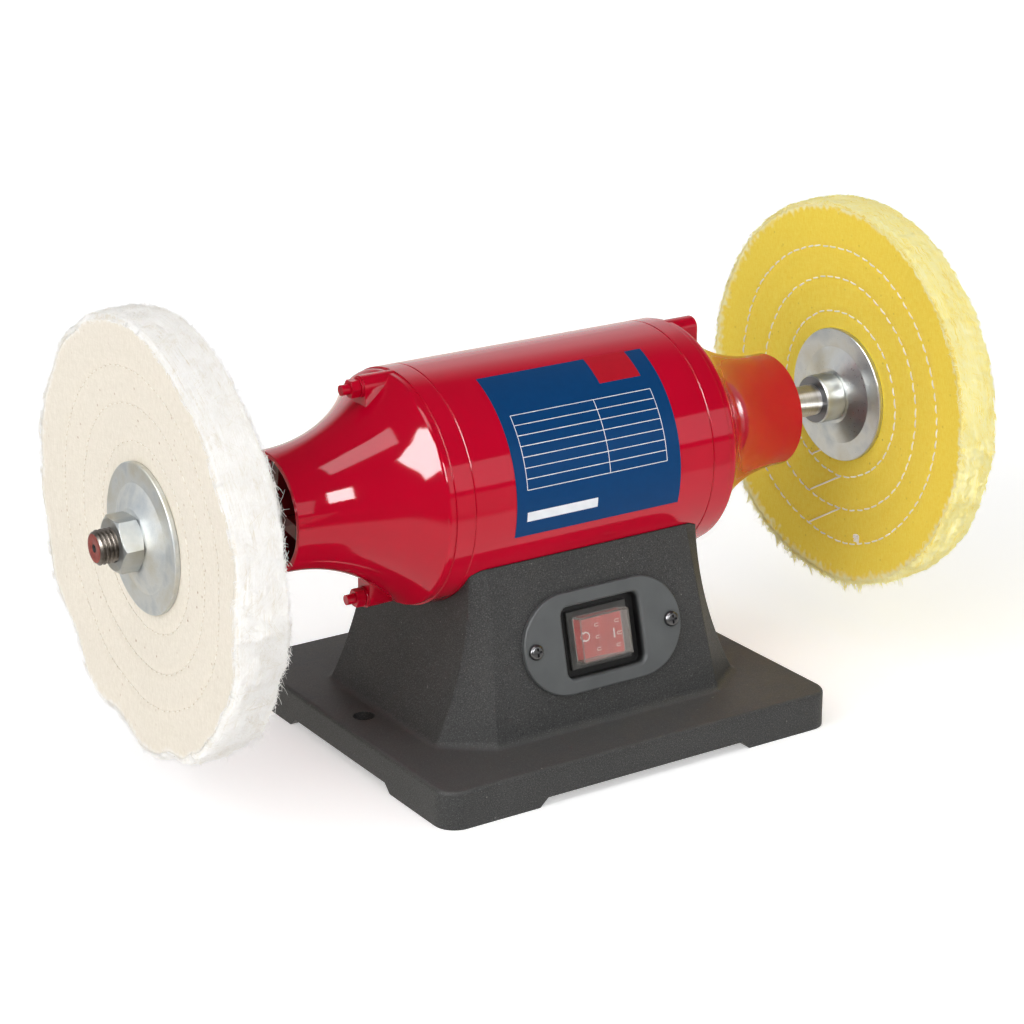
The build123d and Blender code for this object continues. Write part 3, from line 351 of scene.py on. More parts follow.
def fibre(name, pale, middle, deep):
    """Frayed cotton, tinted by a stored value: random tone, and on rims and stitches also painted shade where it
    is low.
    """
    look = new_look(name)
    tone_and_shade = look.tone_and_shade()
    patch = look.noise(look.place(), 240.0, 4.0, 0.6)
    drift = look.times(look.maths("SUBTRACT", patch, 0.5), 0.4)
    tones = look.ramp(look.maths("ADD", drift, tone_and_shade), (0.1, deep), (0.45, middle), (0.85, pale))
    look.surface(Base_Color=tones, Roughness=0.95, Sheen_Weight=0.15, Sheen_Roughness=0.4,
                 Specular_IOR_Level=0.1)
    fuzz = look.noise(look.place(), 1800.0, 2.0)
    look.bump(fuzz, 0.0001, 0.25)
    return look


def plastic(name, dark, light, roughness):
    """Moulded plastic with a fine spark-eroded grain."""
    look = new_look(name)
    place = look.place()
    tones = look.shades(look.noise(place, 70.0, 4.0), dark, light)
    look.surface(Base_Color=tones, Roughness=roughness, Specular_IOR_Level=0.4)
    sparks = look.noise(place, 1600.0, 2.0)
    look.bump(sparks, 0.00004, 0.5, look.soft_edges(0.0003))
    return look


def switch_surround():
    """Grey plate with painted shade, nearly black, inside its sunk well."""
    look = plastic("plate_grey", rgb(84, 87, 88), rgb(92, 95, 96), 0.42)
    x, y, z = look.split(look.place())
    _, rise, climb = joints["rocker_tilt"]["axis"]
    pivot = joints["rocker_tilt"]["pos_m"]

    def slanted(y_share, z_share):
        return look.maths("ADD", look.times(y, y_share), look.times(z, z_share))

    outward, upslope = slanted(-climb, rise), slanted(rise, climb)
    level = max(rise * corner.co.z - climb * corner.co.y for corner in nodes["switch_plate"].data.vertices)
    deep, shallow = level - 0.0036, level - 0.0016
    half_width, half_height = 0.0245, 0.0198
    # Painted shade: the walls of the sunk well are coloured nearly black where shade falls.
    well_shade = look.span(outward, deep, shallow, 1.0, 0.0)
    limits = ((x, pivot[0], half_width), (upslope, rise * pivot[1] + climb * pivot[2], half_height))
    for place, centre, half in limits:
        off = look.maths("ABSOLUTE", look.maths("SUBTRACT", place, centre))
        well_shade = look.times(well_shade, look.maths("LESS_THAN", off, half))
    look.cover(well_shade, rgb(20, 20, 20))
    return look


def red_lens():
    """Translucent red moulding of the rocker."""
    look = new_look("red_lens")
    tones = look.mottle(120.0, 2.0, rgb(178, 30, 25), rgb(190, 38, 31))
    look.surface(Base_Color=tones, Roughness=0.22, Subsurface_Weight=0.25, Subsurface_Scale=0.002,
                 Subsurface_Radius=(1.0, 0.2, 0.1))
    return look


def clear_cover():
    """Clear flexible PVC with a slight milky haze."""
    look = new_look("clear_pvc")
    look.surface(Base_Color=(0.74, 0.71, 0.68, 1.0), Roughness=0.05, Transmission_Weight=0.88, IOR=1.3)
    waves = look.noise(look.place(), 160.0, 2.0)
    look.bump(waves, 0.0001, 0.3)
    return look


def metal(name, tone, roughness):
    """Plain metal with a mottled finish."""
    look = new_look(name)
    tones = look.mottle(300.0, 4.0, darker(tone, 0.8), tone)
    look.surface(Base_Color=tones, Metallic=1.0, Roughness=roughness)
    return look


def print_film(name, tone):
    """Satin printed vinyl."""
    look = new_look(name)
    tones = look.mottle(240.0, 3.0, darker(tone, 0.93), tone)
    look.surface(Base_Color=tones, Roughness=0.34, Specular_IOR_Level=0.1)
    return look


finishes = {
    "red_paint": red_paint(),
    "charcoal_paint": charcoal_casting(),
    "zinc_plated_steel": zinc_plate("satin_zinc", 0.96, 0.52, 0.68),
    "polished_steel": ground_steel(),
    "white_cotton": cloth("cream_cotton", pale=rgb(240, 232, 218), deep=rgb(222, 213, 196),
                          frayed=rgb(242, 238, 230), fleck=rgb(160, 120, 76), fleck_share=0.5),
    "yellow_cotton": cloth("yellow_cotton", pale=rgb(255, 232, 92), deep=rgb(248, 215, 62),
                           frayed=rgb(253, 246, 190), fleck=rgb(130, 96, 24), fleck_share=0.35),
    "grey_plastic": switch_surround(),
    "black_plastic": plastic("black_plastic", rgb(66, 66, 65), rgb(74, 74, 72), 0.38),
    "black_rubber": plastic("black_rubber", rgb(24, 24, 24), rgb(34, 34, 34), 0.75),
    "lead_insulation": plastic("lead_insulation", rgb(32, 52, 120), rgb(42, 64, 140), 0.4),
    "red_plastic": red_lens(),
    "clear_plastic": clear_cover(),
    "black_screws": metal("blacked_steel", rgb(118, 118, 120), 0.28),
    "lamination_steel": metal("lamination_steel", rgb(120, 122, 128), 0.45),
    "bearing_steel": metal("bearing_steel", rgb(205, 206, 210), 0.15),
    "copper_winding": metal("enamelled_copper", rgb(190, 104, 58), 0.35),
    "bare_aluminium": metal("cast_aluminium", rgb(196, 198, 202), 0.45),
    "plated_brass": metal("tinned_brass", rgb(205, 196, 170), 0.3),
    "blue_sticker": print_film("label_blue", rgb(9, 64, 115)),
}
bright_zinc = zinc_plate("bright_zinc", 0.94, 0.27, 0.38)
nut_zinc = zinc_plate("nut_zinc", 0.86, 0.34, 0.48)
turned_zinc = collar_zinc()
thread_steel = dark_thread_steel()
end_paint = marking_paint()
white_fibre = fibre("cream_fray", rgb(253, 252, 250), rgb(246, 244, 240), rgb(232, 225, 211))
yellow_fibre = fibre("yellow_fray", rgb(254, 249, 204), rgb(252, 242, 162), rgb(245, 223, 112))
white_thread = plastic("white_sewing_thread", rgb(240, 234, 220), rgb(250, 246, 236), 0.8)
# Its deep brown tone is painted shade at the stitches' needle holes.
cream_thread = fibre("cream_sewing_thread", rgb(247, 242, 231), rgb(226, 214, 192), rgb(160, 130, 88))
capacitor_grey = plastic("capacitor_can", rgb(46, 48, 52), rgb(58, 60, 64), 0.4)
# Painted highlight: the pale pink of the grip hooks stands for glints on the rocker's bumps.
grip_highlight_pink = plastic("grip_highlight_hooks", rgb(238, 204, 190), rgb(244, 214, 202), 0.3)
mark_white = plastic("mark_white", rgb(236, 234, 230), rgb(246, 244, 240), 0.4)
label_white = print_film("label_white", rgb(238, 240, 244))
label_red = print_film("label_red", rgb(186, 22, 40))

for part in frame["record"]["subparts"]:
    holder = nodes[part["node"]].data.materials
    holder.clear()
    holder.append(finishes[part["material_slot"]].owner)
nodes["capacitor"].data.materials[0] = capacitor_grey.owner
for end in ENDS:
    for piece, look in (("collar", turned_zinc), ("inner_flange", bright_zinc), ("spindle_nut", nut_zinc)):
        nodes[f"{end}_{piece}"].data.materials[0] = look.owner


# Mesh helpers

def add_piece(name, points, faces, body, slot, *looks, rows=None, tone_and_shade=None):
    """Mesh object from points in millimetres, riding on a CAD body."""
    mesh = bpy.data.meshes.new(name)
    places = np.asarray(points, float).reshape(-1, 3) * MM
    mesh.from_pydata(places.tolist(), [], np.asarray(faces).tolist())
    for look in looks:
        mesh.materials.append(look.owner)
    if rows is not None:
        mesh.polygons.foreach_set("material_index", np.asarray(rows, np.int32))
    mesh.polygons.foreach_set("use_smooth", np.full(len(mesh.polygons), True))
    if tone_and_shade is not None:
        depth = np.ascontiguousarray(np.broadcast_to(tone_and_shade, len(mesh.vertices)), np.float32)
        mesh.attributes.new("tone_and_shade", "FLOAT", "POINT").data.foreach_set("value", depth)
    mesh.update()
    made = bpy.data.objects.new(name, mesh)
    bpy.context.scene.collection.objects.link(made)
    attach(made, body)
    return made


def grid_faces(rows, columns, wrap=True):
    """Quads of a grid of points, closed round its columns if wrap is set."""
    here = np.arange(rows - 1)[:, None] * columns
    column = np.arange(columns if wrap else columns - 1)[None, :]
    after = (column + 1) % columns
    above = here + columns
    return np.stack([here + column, here + after, above + after, above + column], -1).reshape(-1, 4)


def tubes(paths, radius, sides, lift):
    """Thin tubes along many paths (count, steps, 3); lift is a rough side direction."""
    along = np.gradient(paths, axis=1)
    along /= np.linalg.norm(along, axis=2, keepdims=True) + 1e-9
    across = np.cross(along, lift)
    across /= np.linalg.norm(across, axis=2, keepdims=True) + 1e-9
    upward = np.cross(across, along)
    count, steps = paths.shape[:2]
    turn = (np.arange(sides) * 2 * np.pi / sides)[:, None]
    ring = across[:, :, None] * np.cos(turn) + upward[:, :, None] * np.sin(turn)
    points = paths[:, :, None] + ring * np.asarray(radius)[..., None, None]
    one = grid_faces(steps, sides)
    faces = (one[None] + (np.arange(count) * steps * sides)[:, None, None]).reshape(-1, 4)
    return points.reshape(-1, 3), faces


def ripple(angle, waves, size, seed):
    """Irregular closed wave round the wheel, about size high."""
    dice = np.random.default_rng(seed)
    total = np.zeros_like(angle)
    for wave in waves:
        total += dice.normal() * np.cos(wave * angle + dice.uniform(0, 2 * np.pi))
    return total * size / math.sqrt(len(waves))


def field(rows, columns, row_blur, column_blur, seed):
    """Smooth random field that closes round its columns, about 1 high."""
    dice = np.random.default_rng(seed).normal(size=(rows, columns))
    row_wave = np.fft.fftfreq(rows)[:, None]
    column_wave = np.fft.fftfreq(columns)[None, :]
    soft = np.exp(-2 * (np.pi * row_wave * row_blur) ** 2 - 2 * (np.pi * column_wave * column_blur) ** 2)
    made = np.real(np.fft.ifft2(np.fft.fft2(dice) * soft))
    return made / made.std()


def smoothstep(low, high, value):
    """0 below low, 1 above high, smooth between."""
    share = np.clip((value - low) / (high - low), 0, 1)
    return share * share * (3 - 2 * share)


# Buffs: sewn cloth plies that fan out to a frayed rim

class Buff:
    """Shape and looks of one buff.

    rims are the distances of its outer and inner edge from its middle plane. lean is what the radius gains
    at the front and at the top, edge rounds the rim, and fray is how far in the cloth is worn. sway, lobes
    and ragged are waves of the edges, dip is how deep it is sewn, and contrast scales the rim's blotches and its
    painted shade."""
    middle = 198.9
    hub_half = 6.98
    bore_r = 8.05
    flange_r = 35.2
    fan_low, fan_high = 30, 108
    quilt_low, quilt_width, seam_width = 36, 17.2, 1.7
    crumple_low, crumple_high, crumple_size = 36, 60, 0.16
    loose_low, loose_high = 66, 100
    edge_share = 0.055
    plies = 20
    turns = 1080
    face_steps = 80
    rim_steps = 150

    def __init__(self, side, slot, fibres, radius, lean, rims, edge, fray, sway, lobes, ragged, dip, contrast,
                 seed):
        self.side = side
        self.slot = slot
        self.fibres = fibres
        self.rims = rims
        self.edge = edge
        self.fray = fray
        self.dip = dip
        self.contrast = contrast
        self.seed = seed
        self.angle = np.arange(self.turns) * 2 * np.pi / self.turns
        self.radius = radius + lean[0] * np.cos(self.angle) + lean[1] * np.sin(self.angle)
        lively = 0.75 - 0.4 * np.sin(self.angle)
        self.sway, self.scallop = [], []
        for which in range(2):
            self.sway.append(self.wave(range(5, 13), sway, which) * lively)
            broad = self.wave(range(9, 17), lobes, 5 + which)
            lobed = broad + self.wave(range(20, 38), 0.5 * lobes, 8 + which)
            self.scallop.append(lobed * lively + self.wave(range(70, 170, 9), ragged, 11 + which))

    def wave(self, waves, size, offset):
        """Irregular wave round this buff."""
        return ripple(self.angle, waves, size, self.seed + offset)

    def face_depth(self, r, rim):
        """Distance of a face from the wheel's middle plane, with the sewn dips."""
        fan = self.hub_half + (rim - self.hub_half) * smoothstep(self.fan_low, self.fan_high, r)
        dips = sum(self.dip * np.exp(-((r - ring) / self.seam_width) ** 2) for ring in STITCH_RINGS)
        quilt = np.clip((r - self.quilt_low) / self.quilt_width, 0, len(STITCH_RINGS))
        puff = 0.5 * self.dip * np.sin(quilt * np.pi) ** 2
        return np.where(r < self.flange_r + 0.1, self.hub_half, fan - dips + puff)

    def place(self, depth, r, angle):
        """Points in the part's frame from distance outwards, radius and angle."""
        x = self.side * (self.middle + depth)
        return np.stack(np.broadcast_arrays(x, -r * np.cos(angle), SPINDLE_Z + r * np.sin(angle)), -1)

    def face_rows(self, which):
        """Depth, radius and fraying of rows of points over one face, from the bore to the rim."""
        share = np.linspace(0, 1, self.face_steps)[:, None]
        hub = np.full((3, self.turns), [[self.bore_r], [20], [34]])
        radii = np.concatenate([hub, self.flange_r + (self.radius - self.edge - self.flange_r) * share])
        loose = smoothstep(self.loose_low, self.loose_high, radii)
        rough = field(len(radii), self.turns, 7, 26, self.seed + 20 + which) * self.crumple_size
        crumple = rough * smoothstep(self.crumple_low, self.crumple_high, radii)
        depth = self.face_depth(radii, self.rims[which]) + self.sway[which] * loose + crumple
        r = radii + self.scallop[which] * loose
        return (depth if which == 0 else -depth), r, self.frayed(radii)

    def frayed(self, radii):
        """How frayed each place on a face is, from 0 on sound cloth to 1 at the edge."""
        worn = 0.65 + 0.35 * np.cos(self.angle - math.radians(FRAYED_TURN))
        reach = self.fray * worn * np.exp(self.wave(range(12, 150, 9), 0.35, 50))
        share = 1 - (self.radius - self.edge - radii) / reach
        blotches = 0.25 * field(*radii.shape, 0.8, 1.5, self.seed + 40)
        return np.clip(share + np.where(share > -0.6, blotches, 0), 0, 1)

    def rim_rows(self):
        """Depth, radius, and tone with painted shade, of rows of points over the rim, from the outer face to the
        inner one.
        """
        count, band = self.rim_steps, self.edge_share
        share = np.linspace(0, 1, count)[:, None]
        depth = (self.rims[0] + self.sway[0]) * (1 - share) - (self.rims[1] + self.sway[1]) * share
        scallop = self.scallop[0] * (1 - share) + self.scallop[1] * share
        near_edge = np.clip((band - share) / band, 0, 1) + np.clip((share - (1 - band)) / band, 0, 1)
        crown = 0.8 * (1 - (2 * share - 1) ** 2)
        wander = field(count, self.turns, 9, 26, self.seed + 31) * 0.3
        ridge = np.sqrt(np.sin(np.pi * ((share * self.plies + wander) % 1.0)))
        tufts = field(count, self.turns, 5, 14, self.seed + 33)
        streaks = field(count, self.turns, 1.1, 8, self.seed + 34)
        r = self.radius + crown - self.edge * near_edge ** 2 + scallop + (ridge - 1) * 0.1 + 0.1 * tufts
        edge_shade_turn = math.radians(35)
        edge_shade = np.clip(np.cos(self.angle - edge_shade_turn), 0, 1)
        # Painted shade: darker in the valleys between plies and along the rim's edges, most towards the front and
        # top; streaks and tufts are random tone.
        tone_and_shade = 0.17 * streaks + 0.09 * tufts + 0.12 * (ridge - 0.8) - (0.1 + 0.35 * edge_shade) * near_edge
        return depth, r, np.clip(0.56 + self.contrast * tone_and_shade, 0.1, 0.9)

    def column(self, angle):
        """Which of the points round the wheel lies at each angle."""
        return (angle / (2 * np.pi) * self.turns).astype(int) % self.turns

    def rim_lookup(self, share, angle):
        """Depth and radius of the rim at many places."""
        depth, r, _ = self.rim
        row = np.clip((share * (self.rim_steps - 1)).astype(int), 0, self.rim_steps - 1)
        column = self.column(angle)
        return depth[row, column], r[row, column]

    def cloth_depth(self, which, r, angle):
        """Depth of one face's cloth at many places."""
        depth, radii, _ = self.faces[which]
        places = zip(r, self.column(angle))
        return np.array([np.interp(at, radii[:, column], depth[:, column]) for at, column in places])

    def build(self):
        """Points over the whole wheel, their fraying or tone with painted shade, and the first and last row of the
        rim.
        """
        self.faces = (self.face_rows(0), self.face_rows(1))
        self.rim = self.rim_rows()
        outer, inner = self.faces
        parts = (outer, self.rim, [rows[::-1] for rows in inner])
        depth, r, tone_and_shade = (np.concatenate(rows) for rows in zip(*parts))
        first = len(outer[0])
        return self.place(depth, r, self.angle), tone_and_shade, first, first + self.rim_steps


def buff_body(name, buff, node):
    """Cloth body of one buff: both faces and the rim, closed at the bore."""
    points, tone_and_shade, first, last = buff.build()
    rows, columns = points.shape[:2]
    ring = np.arange(columns)
    after = (ring + 1) % columns
    end = (rows - 1) * columns
    closing = np.stack([after, ring, end + ring, end + after], -1)
    faces = np.concatenate([grid_faces(rows, columns), closing])
    if buff.side > 0:
        faces = faces[:, ::-1]
    row_of = np.concatenate([np.repeat(np.arange(rows - 1), columns), np.zeros(columns, int)])
    on_rim = ((row_of >= first) & (row_of < last)).astype(int)
    made = add_piece(name, points, faces, "spindle_group", buff.slot, finishes[buff.slot], buff.fibres,
                     rows=on_rim, tone_and_shade=tone_and_shade.ravel())
    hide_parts(node)


def fibre_piece(name, buff, paths, thick, lift, tone_and_shade):
    """Many fibres as one piece, each with its own tone; too fine to cast shadows."""
    sides = 3
    points, faces = tubes(paths, thick, sides, lift)
    piles = np.repeat(tone_and_shade, paths.shape[1] * sides)
    made = add_piece(name, points, faces, "spindle_group", buff.slot, buff.fibres, tone_and_shade=piles)
    made.visible_shadow = False


def rim_fibres(name, buff, tufts, scatter, rise, seed):
    """Loose fibres in tufts that lie over the rim, slanted across it."""
    dice = np.random.default_rng(seed)
    strands, steps, slant = 14, 6, 0.35
    count = tufts * strands

    def strand_values(tuft_values, spread):
        return np.repeat(tuft_values, strands) + dice.normal(0, spread, count)

    share = strand_values(dice.uniform(0.0, 1.0, tufts), 0.035)
    start = strand_values(dice.uniform(0, 2 * np.pi, tufts), 0.009)
    headings = dice.normal(slant, scatter, tufts) + np.where(dice.random(tufts) < 0.5, np.pi, 0)
    heading = strand_values(headings, 0.16)
    bend = strand_values(dice.normal(0, 0.6, tufts), 0.25)
    length = np.repeat(dice.uniform(4.0, 10.0, tufts), strands) * dice.uniform(0.6, 1.1, count)
    lift_off = dice.gamma(1.4, rise, count)
    along = np.linspace(0, 1, steps)[None, :]
    turn = heading[:, None] + bend[:, None] * along
    step = length[:, None] / (steps - 1)
    forward = np.cumsum(np.cos(turn) * step, 1) - np.cos(turn[:, :1]) * step
    sideways = np.cumsum(np.sin(turn) * step, 1) - np.sin(turn[:, :1]) * step
    width = sum(buff.rims)
    angle = start[:, None] + forward / BUFF_R
    wide_share = np.clip(share[:, None] + sideways / width, -0.05, 1.05)
    on_rim = np.clip(wide_share, 0, 1)
    depth, r = buff.rim_lookup(on_rim, angle % (2 * np.pi))
    rise_over = 0.08 + lift_off[:, None] * along ** 1.6
    paths = buff.place(depth + (on_rim - wide_share) * width, r + rise_over, angle)
    lift = buff.place(-buff.middle, 1.0, angle) - np.array([0, 0, SPINDLE_Z])
    thick = dice.uniform(0.07, 0.14, count)[:, None] * (1 - 0.5 * along)
    tone_and_shade = strand_values(dice.normal(0.62, 0.2 * buff.contrast, tufts), 0.12)
    fibre_piece(name, buff, paths, thick, lift, np.clip(tone_and_shade, 0.1, 0.95))


def frayed_threads(name, buff, count, where, spread, edge, length, seed):
    """Threads that stand out of the rim round an angle in radians, near its outer (0) or inner (1) edge."""
    dice = np.random.default_rng(seed)
    steps, root, longest = 6, 0.4, 8.0
    start = dice.normal(where, spread, count) % (2 * np.pi)
    share = np.clip(np.abs(edge - dice.beta(1, 9, count)), 0.0, 1.0)
    edge_depth, edge_r = buff.rim_lookup(share, start)
    length_all = dice.gamma(3.0, length / 3, count) + root
    lean = dice.normal(0.35, 0.5, count)[:, None]
    sweep = dice.normal(0, 0.8, count)[:, None]
    curl = dice.normal(0, 1.3, count)[:, None]
    along = np.linspace(0, 1, steps)[None, :]
    reach = np.minimum(length_all, longest)[:, None] * along
    tilt = sweep + curl * along
    r = edge_r[:, None] - root + reach * np.cos(tilt) * np.cos(lean)
    angle = start[:, None] + reach * np.sin(tilt) / BUFF_R
    outward = 1 if edge == 0 else -1
    paths = buff.place(edge_depth[:, None] + outward * reach * np.sin(lean) * 0.7, r, angle)
    thick = dice.uniform(0.08, 0.18, count)[:, None] * (1 - 0.55 * along)
    tone_and_shade = np.clip(dice.normal(0.65, 0.15, count), 0.2, 0.95)
    fibre_piece(name, buff, paths, thick, THREAD_SIDE, tone_and_shade)


def thread_tufts(name, buff, count, low, high, seed):
    """Tapered tufts of threads that hang from the motor-side edge between two angles in degrees."""
    dice = np.random.default_rng(seed)
    strands, steps, root, thickest = 10, 7, 0.6, 0.2
    along = np.linspace(0, 1, steps)
    paths, piles = [], []
    for angle in np.radians(dice.uniform(low, high, count)):
        reach, sweep = dice.uniform(3.0, 7.5), dice.normal(0, 2.5)
        for _ in range(strands):
            base = angle + dice.normal(0, 0.9) / BUFF_R
            share = 1.0 - abs(dice.normal(0, 0.04))
            depth, r = buff.rim_lookup(np.array(share), np.array(base % (2 * np.pi)))
            tip = angle + (sweep + dice.normal(0, 0.4)) / BUFF_R
            turn = base + (tip - base) * along ** 1.3
            rise = r - root + (reach * dice.uniform(0.6, 1.0) + root) * along
            paths.append(buff.place(depth + dice.normal(0, 0.5) * along, rise, turn))
            piles.append(dice.uniform(0.45, 0.9))
    fibre_piece(name, buff, np.array(paths), thickest * (1 - 0.6 * along), THREAD_SIDE, np.array(piles))


def stitch_paths(buff, pitch, stitch, rise, flat, seed):
    """Centre lines of the stitches on both faces, ring by ring, at rise above the cloth in their middles.

    The larger flat is, the nearer to its ends a stitch dives into the cloth."""
    along = np.linspace(-0.5, 0.5, len(STITCH_END_SHADE))
    above = rise - 0.9 * np.abs(2 * along) ** flat
    paths = []
    for which, sign in enumerate((1, -1)):
        dice = np.random.default_rng(seed + which)
        for ring in STITCH_RINGS:
            count = round(2 * np.pi * ring / pitch)
            turns = np.arange(count) * 2 * np.pi / count
            slack = ripple(turns, (2, 3, 5), 0.35, seed + which + int(ring))
            for k in range(count):
                angle = (k + dice.normal(0, 0.04)) * 2 * np.pi / count
                spread = angle + along * stitch * dice.uniform(0.88, 1.08) / ring
                r = ring + slack[k] + dice.normal(0, 0.12) + along * dice.normal(0, 0.25)
                paths.append(buff.place(buff.cloth_depth(which, r, spread) + sign * above, r, spread))
    return paths


def crossing_paths(buff):
    """Centre lines of the thread that steps from each ring of stitches to the next, on both faces."""
    crossings = ((77.6, -103.5, 61.8, -85.5), (60.6, -108.5, 44.2, -85.0), (43.2, -118.0, 33.0, -106.0))
    share = np.linspace(0, 1, 7)
    rise = np.full(len(share), 0.4)
    rise[[0, -1]] -= 0.5
    paths = []
    for which, sign in enumerate((1, -1)):
        for start_r, start_turn, end_r, end_turn in crossings:
            start = start_r * np.exp(1j * math.radians(start_turn))
            end = end_r * np.exp(1j * math.radians(end_turn))
            line = start * (1 - share) + end * share
            r, angle = np.abs(line), np.angle(line)
            paths.append(buff.place(buff.cloth_depth(which, r, angle) + sign * rise, r, angle))
    return paths


def thread_piece(name, buff, paths, thick, look, tones=(1.0,)):
    """Sewing thread along many paths as one piece; tones run along each path, and low tones give painted shade."""
    paths = np.array(paths)
    sides = 6
    points, faces = tubes(paths, thick, sides, np.array([1.0, 0.1, 0.2]))
    tone_and_shade = np.repeat(np.broadcast_to(tones, paths.shape[:2]), sides)
    add_piece(name, points, faces, "spindle_group", buff.slot, look, tone_and_shade=tone_and_shade)


def thread_knot(buff, r, angle):
    """Centre line of the small knot where the sewing ends, on the motor's side."""
    level = buff.cloth_depth(1, np.array([r]), np.radians([angle]))[0] - 0.5
    turn = np.linspace(0, 14 * np.pi, 160)
    shrink = 0.55 + 0.45 * np.cos(0.31 * turn)
    width, height = 1.9 * shrink * np.cos(turn), 2.1 * shrink * np.sin(1.13 * turn)
    ball = np.stack([0.7 * np.cos(1.7 * turn), width, height], -1)
    centre = buff.place(np.array(level), np.array(r), np.array(math.radians(angle)))
    return centre + ball[None] * np.array([-0.6 * buff.side, 1.0, 1.0])


left_buff = Buff(side=-1, slot="white_cotton", fibres=white_fibre, radius=101.6,
                 lean=(-2.4, -0.7), rims=(12.1, 11.9), edge=2.4, fray=2.5, sway=0.8, lobes=0.95, ragged=0.2,
                 dip=0.36, contrast=0.8, seed=100)
right_buff = Buff(side=1, slot="yellow_cotton", fibres=yellow_fibre, radius=100.2,
                  lean=(-0.9, 0.4), rims=(10.4, 11.6), edge=1.3, fray=4.5, sway=0.35, lobes=0.35, ragged=0.3,
                  dip=0.5, contrast=0.85, seed=200)
buff_body("left_cotton_buff", left_buff, "left_buff_wheel")
buff_body("right_cotton_buff", right_buff, "right_buff_wheel")
rim_fibres("left_rim_fibres", left_buff, tufts=1700, scatter=0.5, rise=0.4, seed=41)
rim_fibres("right_rim_fibres", right_buff, tufts=1200, scatter=0.3, rise=0.3, seed=42)
frayed_threads("left_inner_frays", left_buff, 2400, where=-0.4, spread=1.2, edge=1, length=2.5, seed=43)
frayed_threads("left_outer_frays", left_buff, 2200, where=0.0, spread=3.0, edge=0, length=0.9, seed=44)
frayed_threads("right_low_frays", right_buff, 1800, where=-1.9, spread=0.6, edge=1, length=2.4, seed=45)
frayed_threads("right_inner_frays", right_buff, 3200, where=0.0, spread=3.0, edge=1, length=1.3, seed=46)
frayed_threads("right_outer_frays", right_buff, 1500, where=0.0, spread=3.0, edge=0, length=1.2, seed=47)
thread_tufts("right_thread_tufts", right_buff, 34, low=-155, high=-50, seed=48)
left_rows = stitch_paths(left_buff, pitch=5.6, stitch=5.5, rise=0.14, flat=5.0, seed=51)
thread_piece("left_stitches", left_buff, left_rows, 0.24, cream_thread, STITCH_END_SHADE)
right_rows = stitch_paths(right_buff, pitch=6.2, stitch=5.0, rise=0.4, flat=2.2, seed=61)
thread_piece("right_stitches", right_buff, right_rows + crossing_paths(right_buff), 0.42, white_thread)
thread_piece("right_thread_knot", right_buff, thread_knot(right_buff, 76.0, -73.0), 0.42, white_thread)


# Spindle with rolled threads at its ends

def spindle_piece():
    """Turned spindle: plain lands, threaded ends, a centre hole in each end face, painted black as shade."""
    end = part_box("spindle")[1].x / MM
    thread_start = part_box("right_spindle_nut")[0].x / MM + 1.0
    pitch, crest, root, run_in, bevel = 2.0, 8.0, 6.85, 2.0, 1.3
    middle_r, seat_r = 10.0, 8.5
    sides = 96
    turn = np.arange(sides) * 2 * np.pi / sides
    half = [(0.0, middle_r)]
    for x, before, after in ((113.95, middle_r, seat_r), (126.0, seat_r, crest)):
        half += [(x - 0.3, before), (x, before), (x + 0.05, after), (x + 0.35, after)]
    half.append((thread_start, crest))
    rings = [(x, np.full(sides, r)) for x, r in half]
    thread_x = np.arange(thread_start, end - 0.01, 0.1)
    for x in thread_x:
        phase = (x / pitch - turn / (2 * np.pi)) % 1.0
        groove = np.clip(1.15 - 2.6 * np.abs(phase - 0.5), 0, 1)
        cut = smoothstep(thread_start, thread_start + run_in, x)
        taper = np.clip(end - x, 0, bevel) - bevel
        rings.append((x, np.minimum(crest - (crest - root) * groove * cut, crest + taper)))
    end_rings = [(end, 6.55), (end, 1.9), (end - 1.2, 1.2), (end - 3.0, 1.2), (end - 4.5, 0.02)]
    rings += [(x, np.full(sides, r)) for x, r in end_rings]
    places = np.array([x for x, _ in rings])[:, None]
    profile = np.array([r for _, r in rings])
    y, z = -profile * np.cos(turn), SPINDLE_Z + profile * np.sin(turn)
    right = np.stack(np.broadcast_arrays(places, y, z), -1)
    left = right[::-1][:-1] * np.array([-1.0, 1.0, 1.0])
    points = np.concatenate([left, right])
    rows = len(points)
    row_of = np.repeat(np.arange(rows - 1), sides)
    from_end = np.minimum(row_of, rows - 2 - row_of)
    # The centre holes take the black rubber look: painted shade inside them.
    hole, face = 3, 4
    kind = np.select([from_end < hole, from_end < face, from_end < face + len(thread_x)], [3, 2, 1], 0)
    faces = grid_faces(rows, sides)[:, ::-1]
    looks = (finishes["polished_steel"], thread_steel, end_paint, finishes["black_rubber"])
    made = add_piece("threaded_spindle", points, faces, "spindle_group", "polished_steel", *looks, rows=kind)
    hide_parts("spindle")


spindle_piece()


# Sticker print: a bare table, a plain tab and a blank strip

def film_patch(x_low, x_high, angle_low, angle_high):
    """Curved patch on the sticker, from angles in degrees: its points and faces."""
    steps = max(2, int(abs(angle_high - angle_low) / 1.5) + 2)
    angles = np.radians(np.linspace(angle_low, angle_high, steps))
    rows = [(-PRINT_R * math.cos(angle), SPINDLE_Z + PRINT_R * math.sin(angle)) for angle in angles]
    points = [(x, y, z) for y, z in rows for x in (x_low, x_high)]
    return np.array(points), grid_faces(steps, 2, wrap=False)


def film_piece(name, patches, look):
    """Several printed patches as one piece."""
    points, faces, count = [], [], 0
    for patch in patches:
        more, quads = film_patch(*patch)
        points.append(more)
        faces.append(quads + count)
        count += len(more)
    add_piece(name, np.concatenate(points), np.concatenate(faces), "stand", "blue_sticker", look)


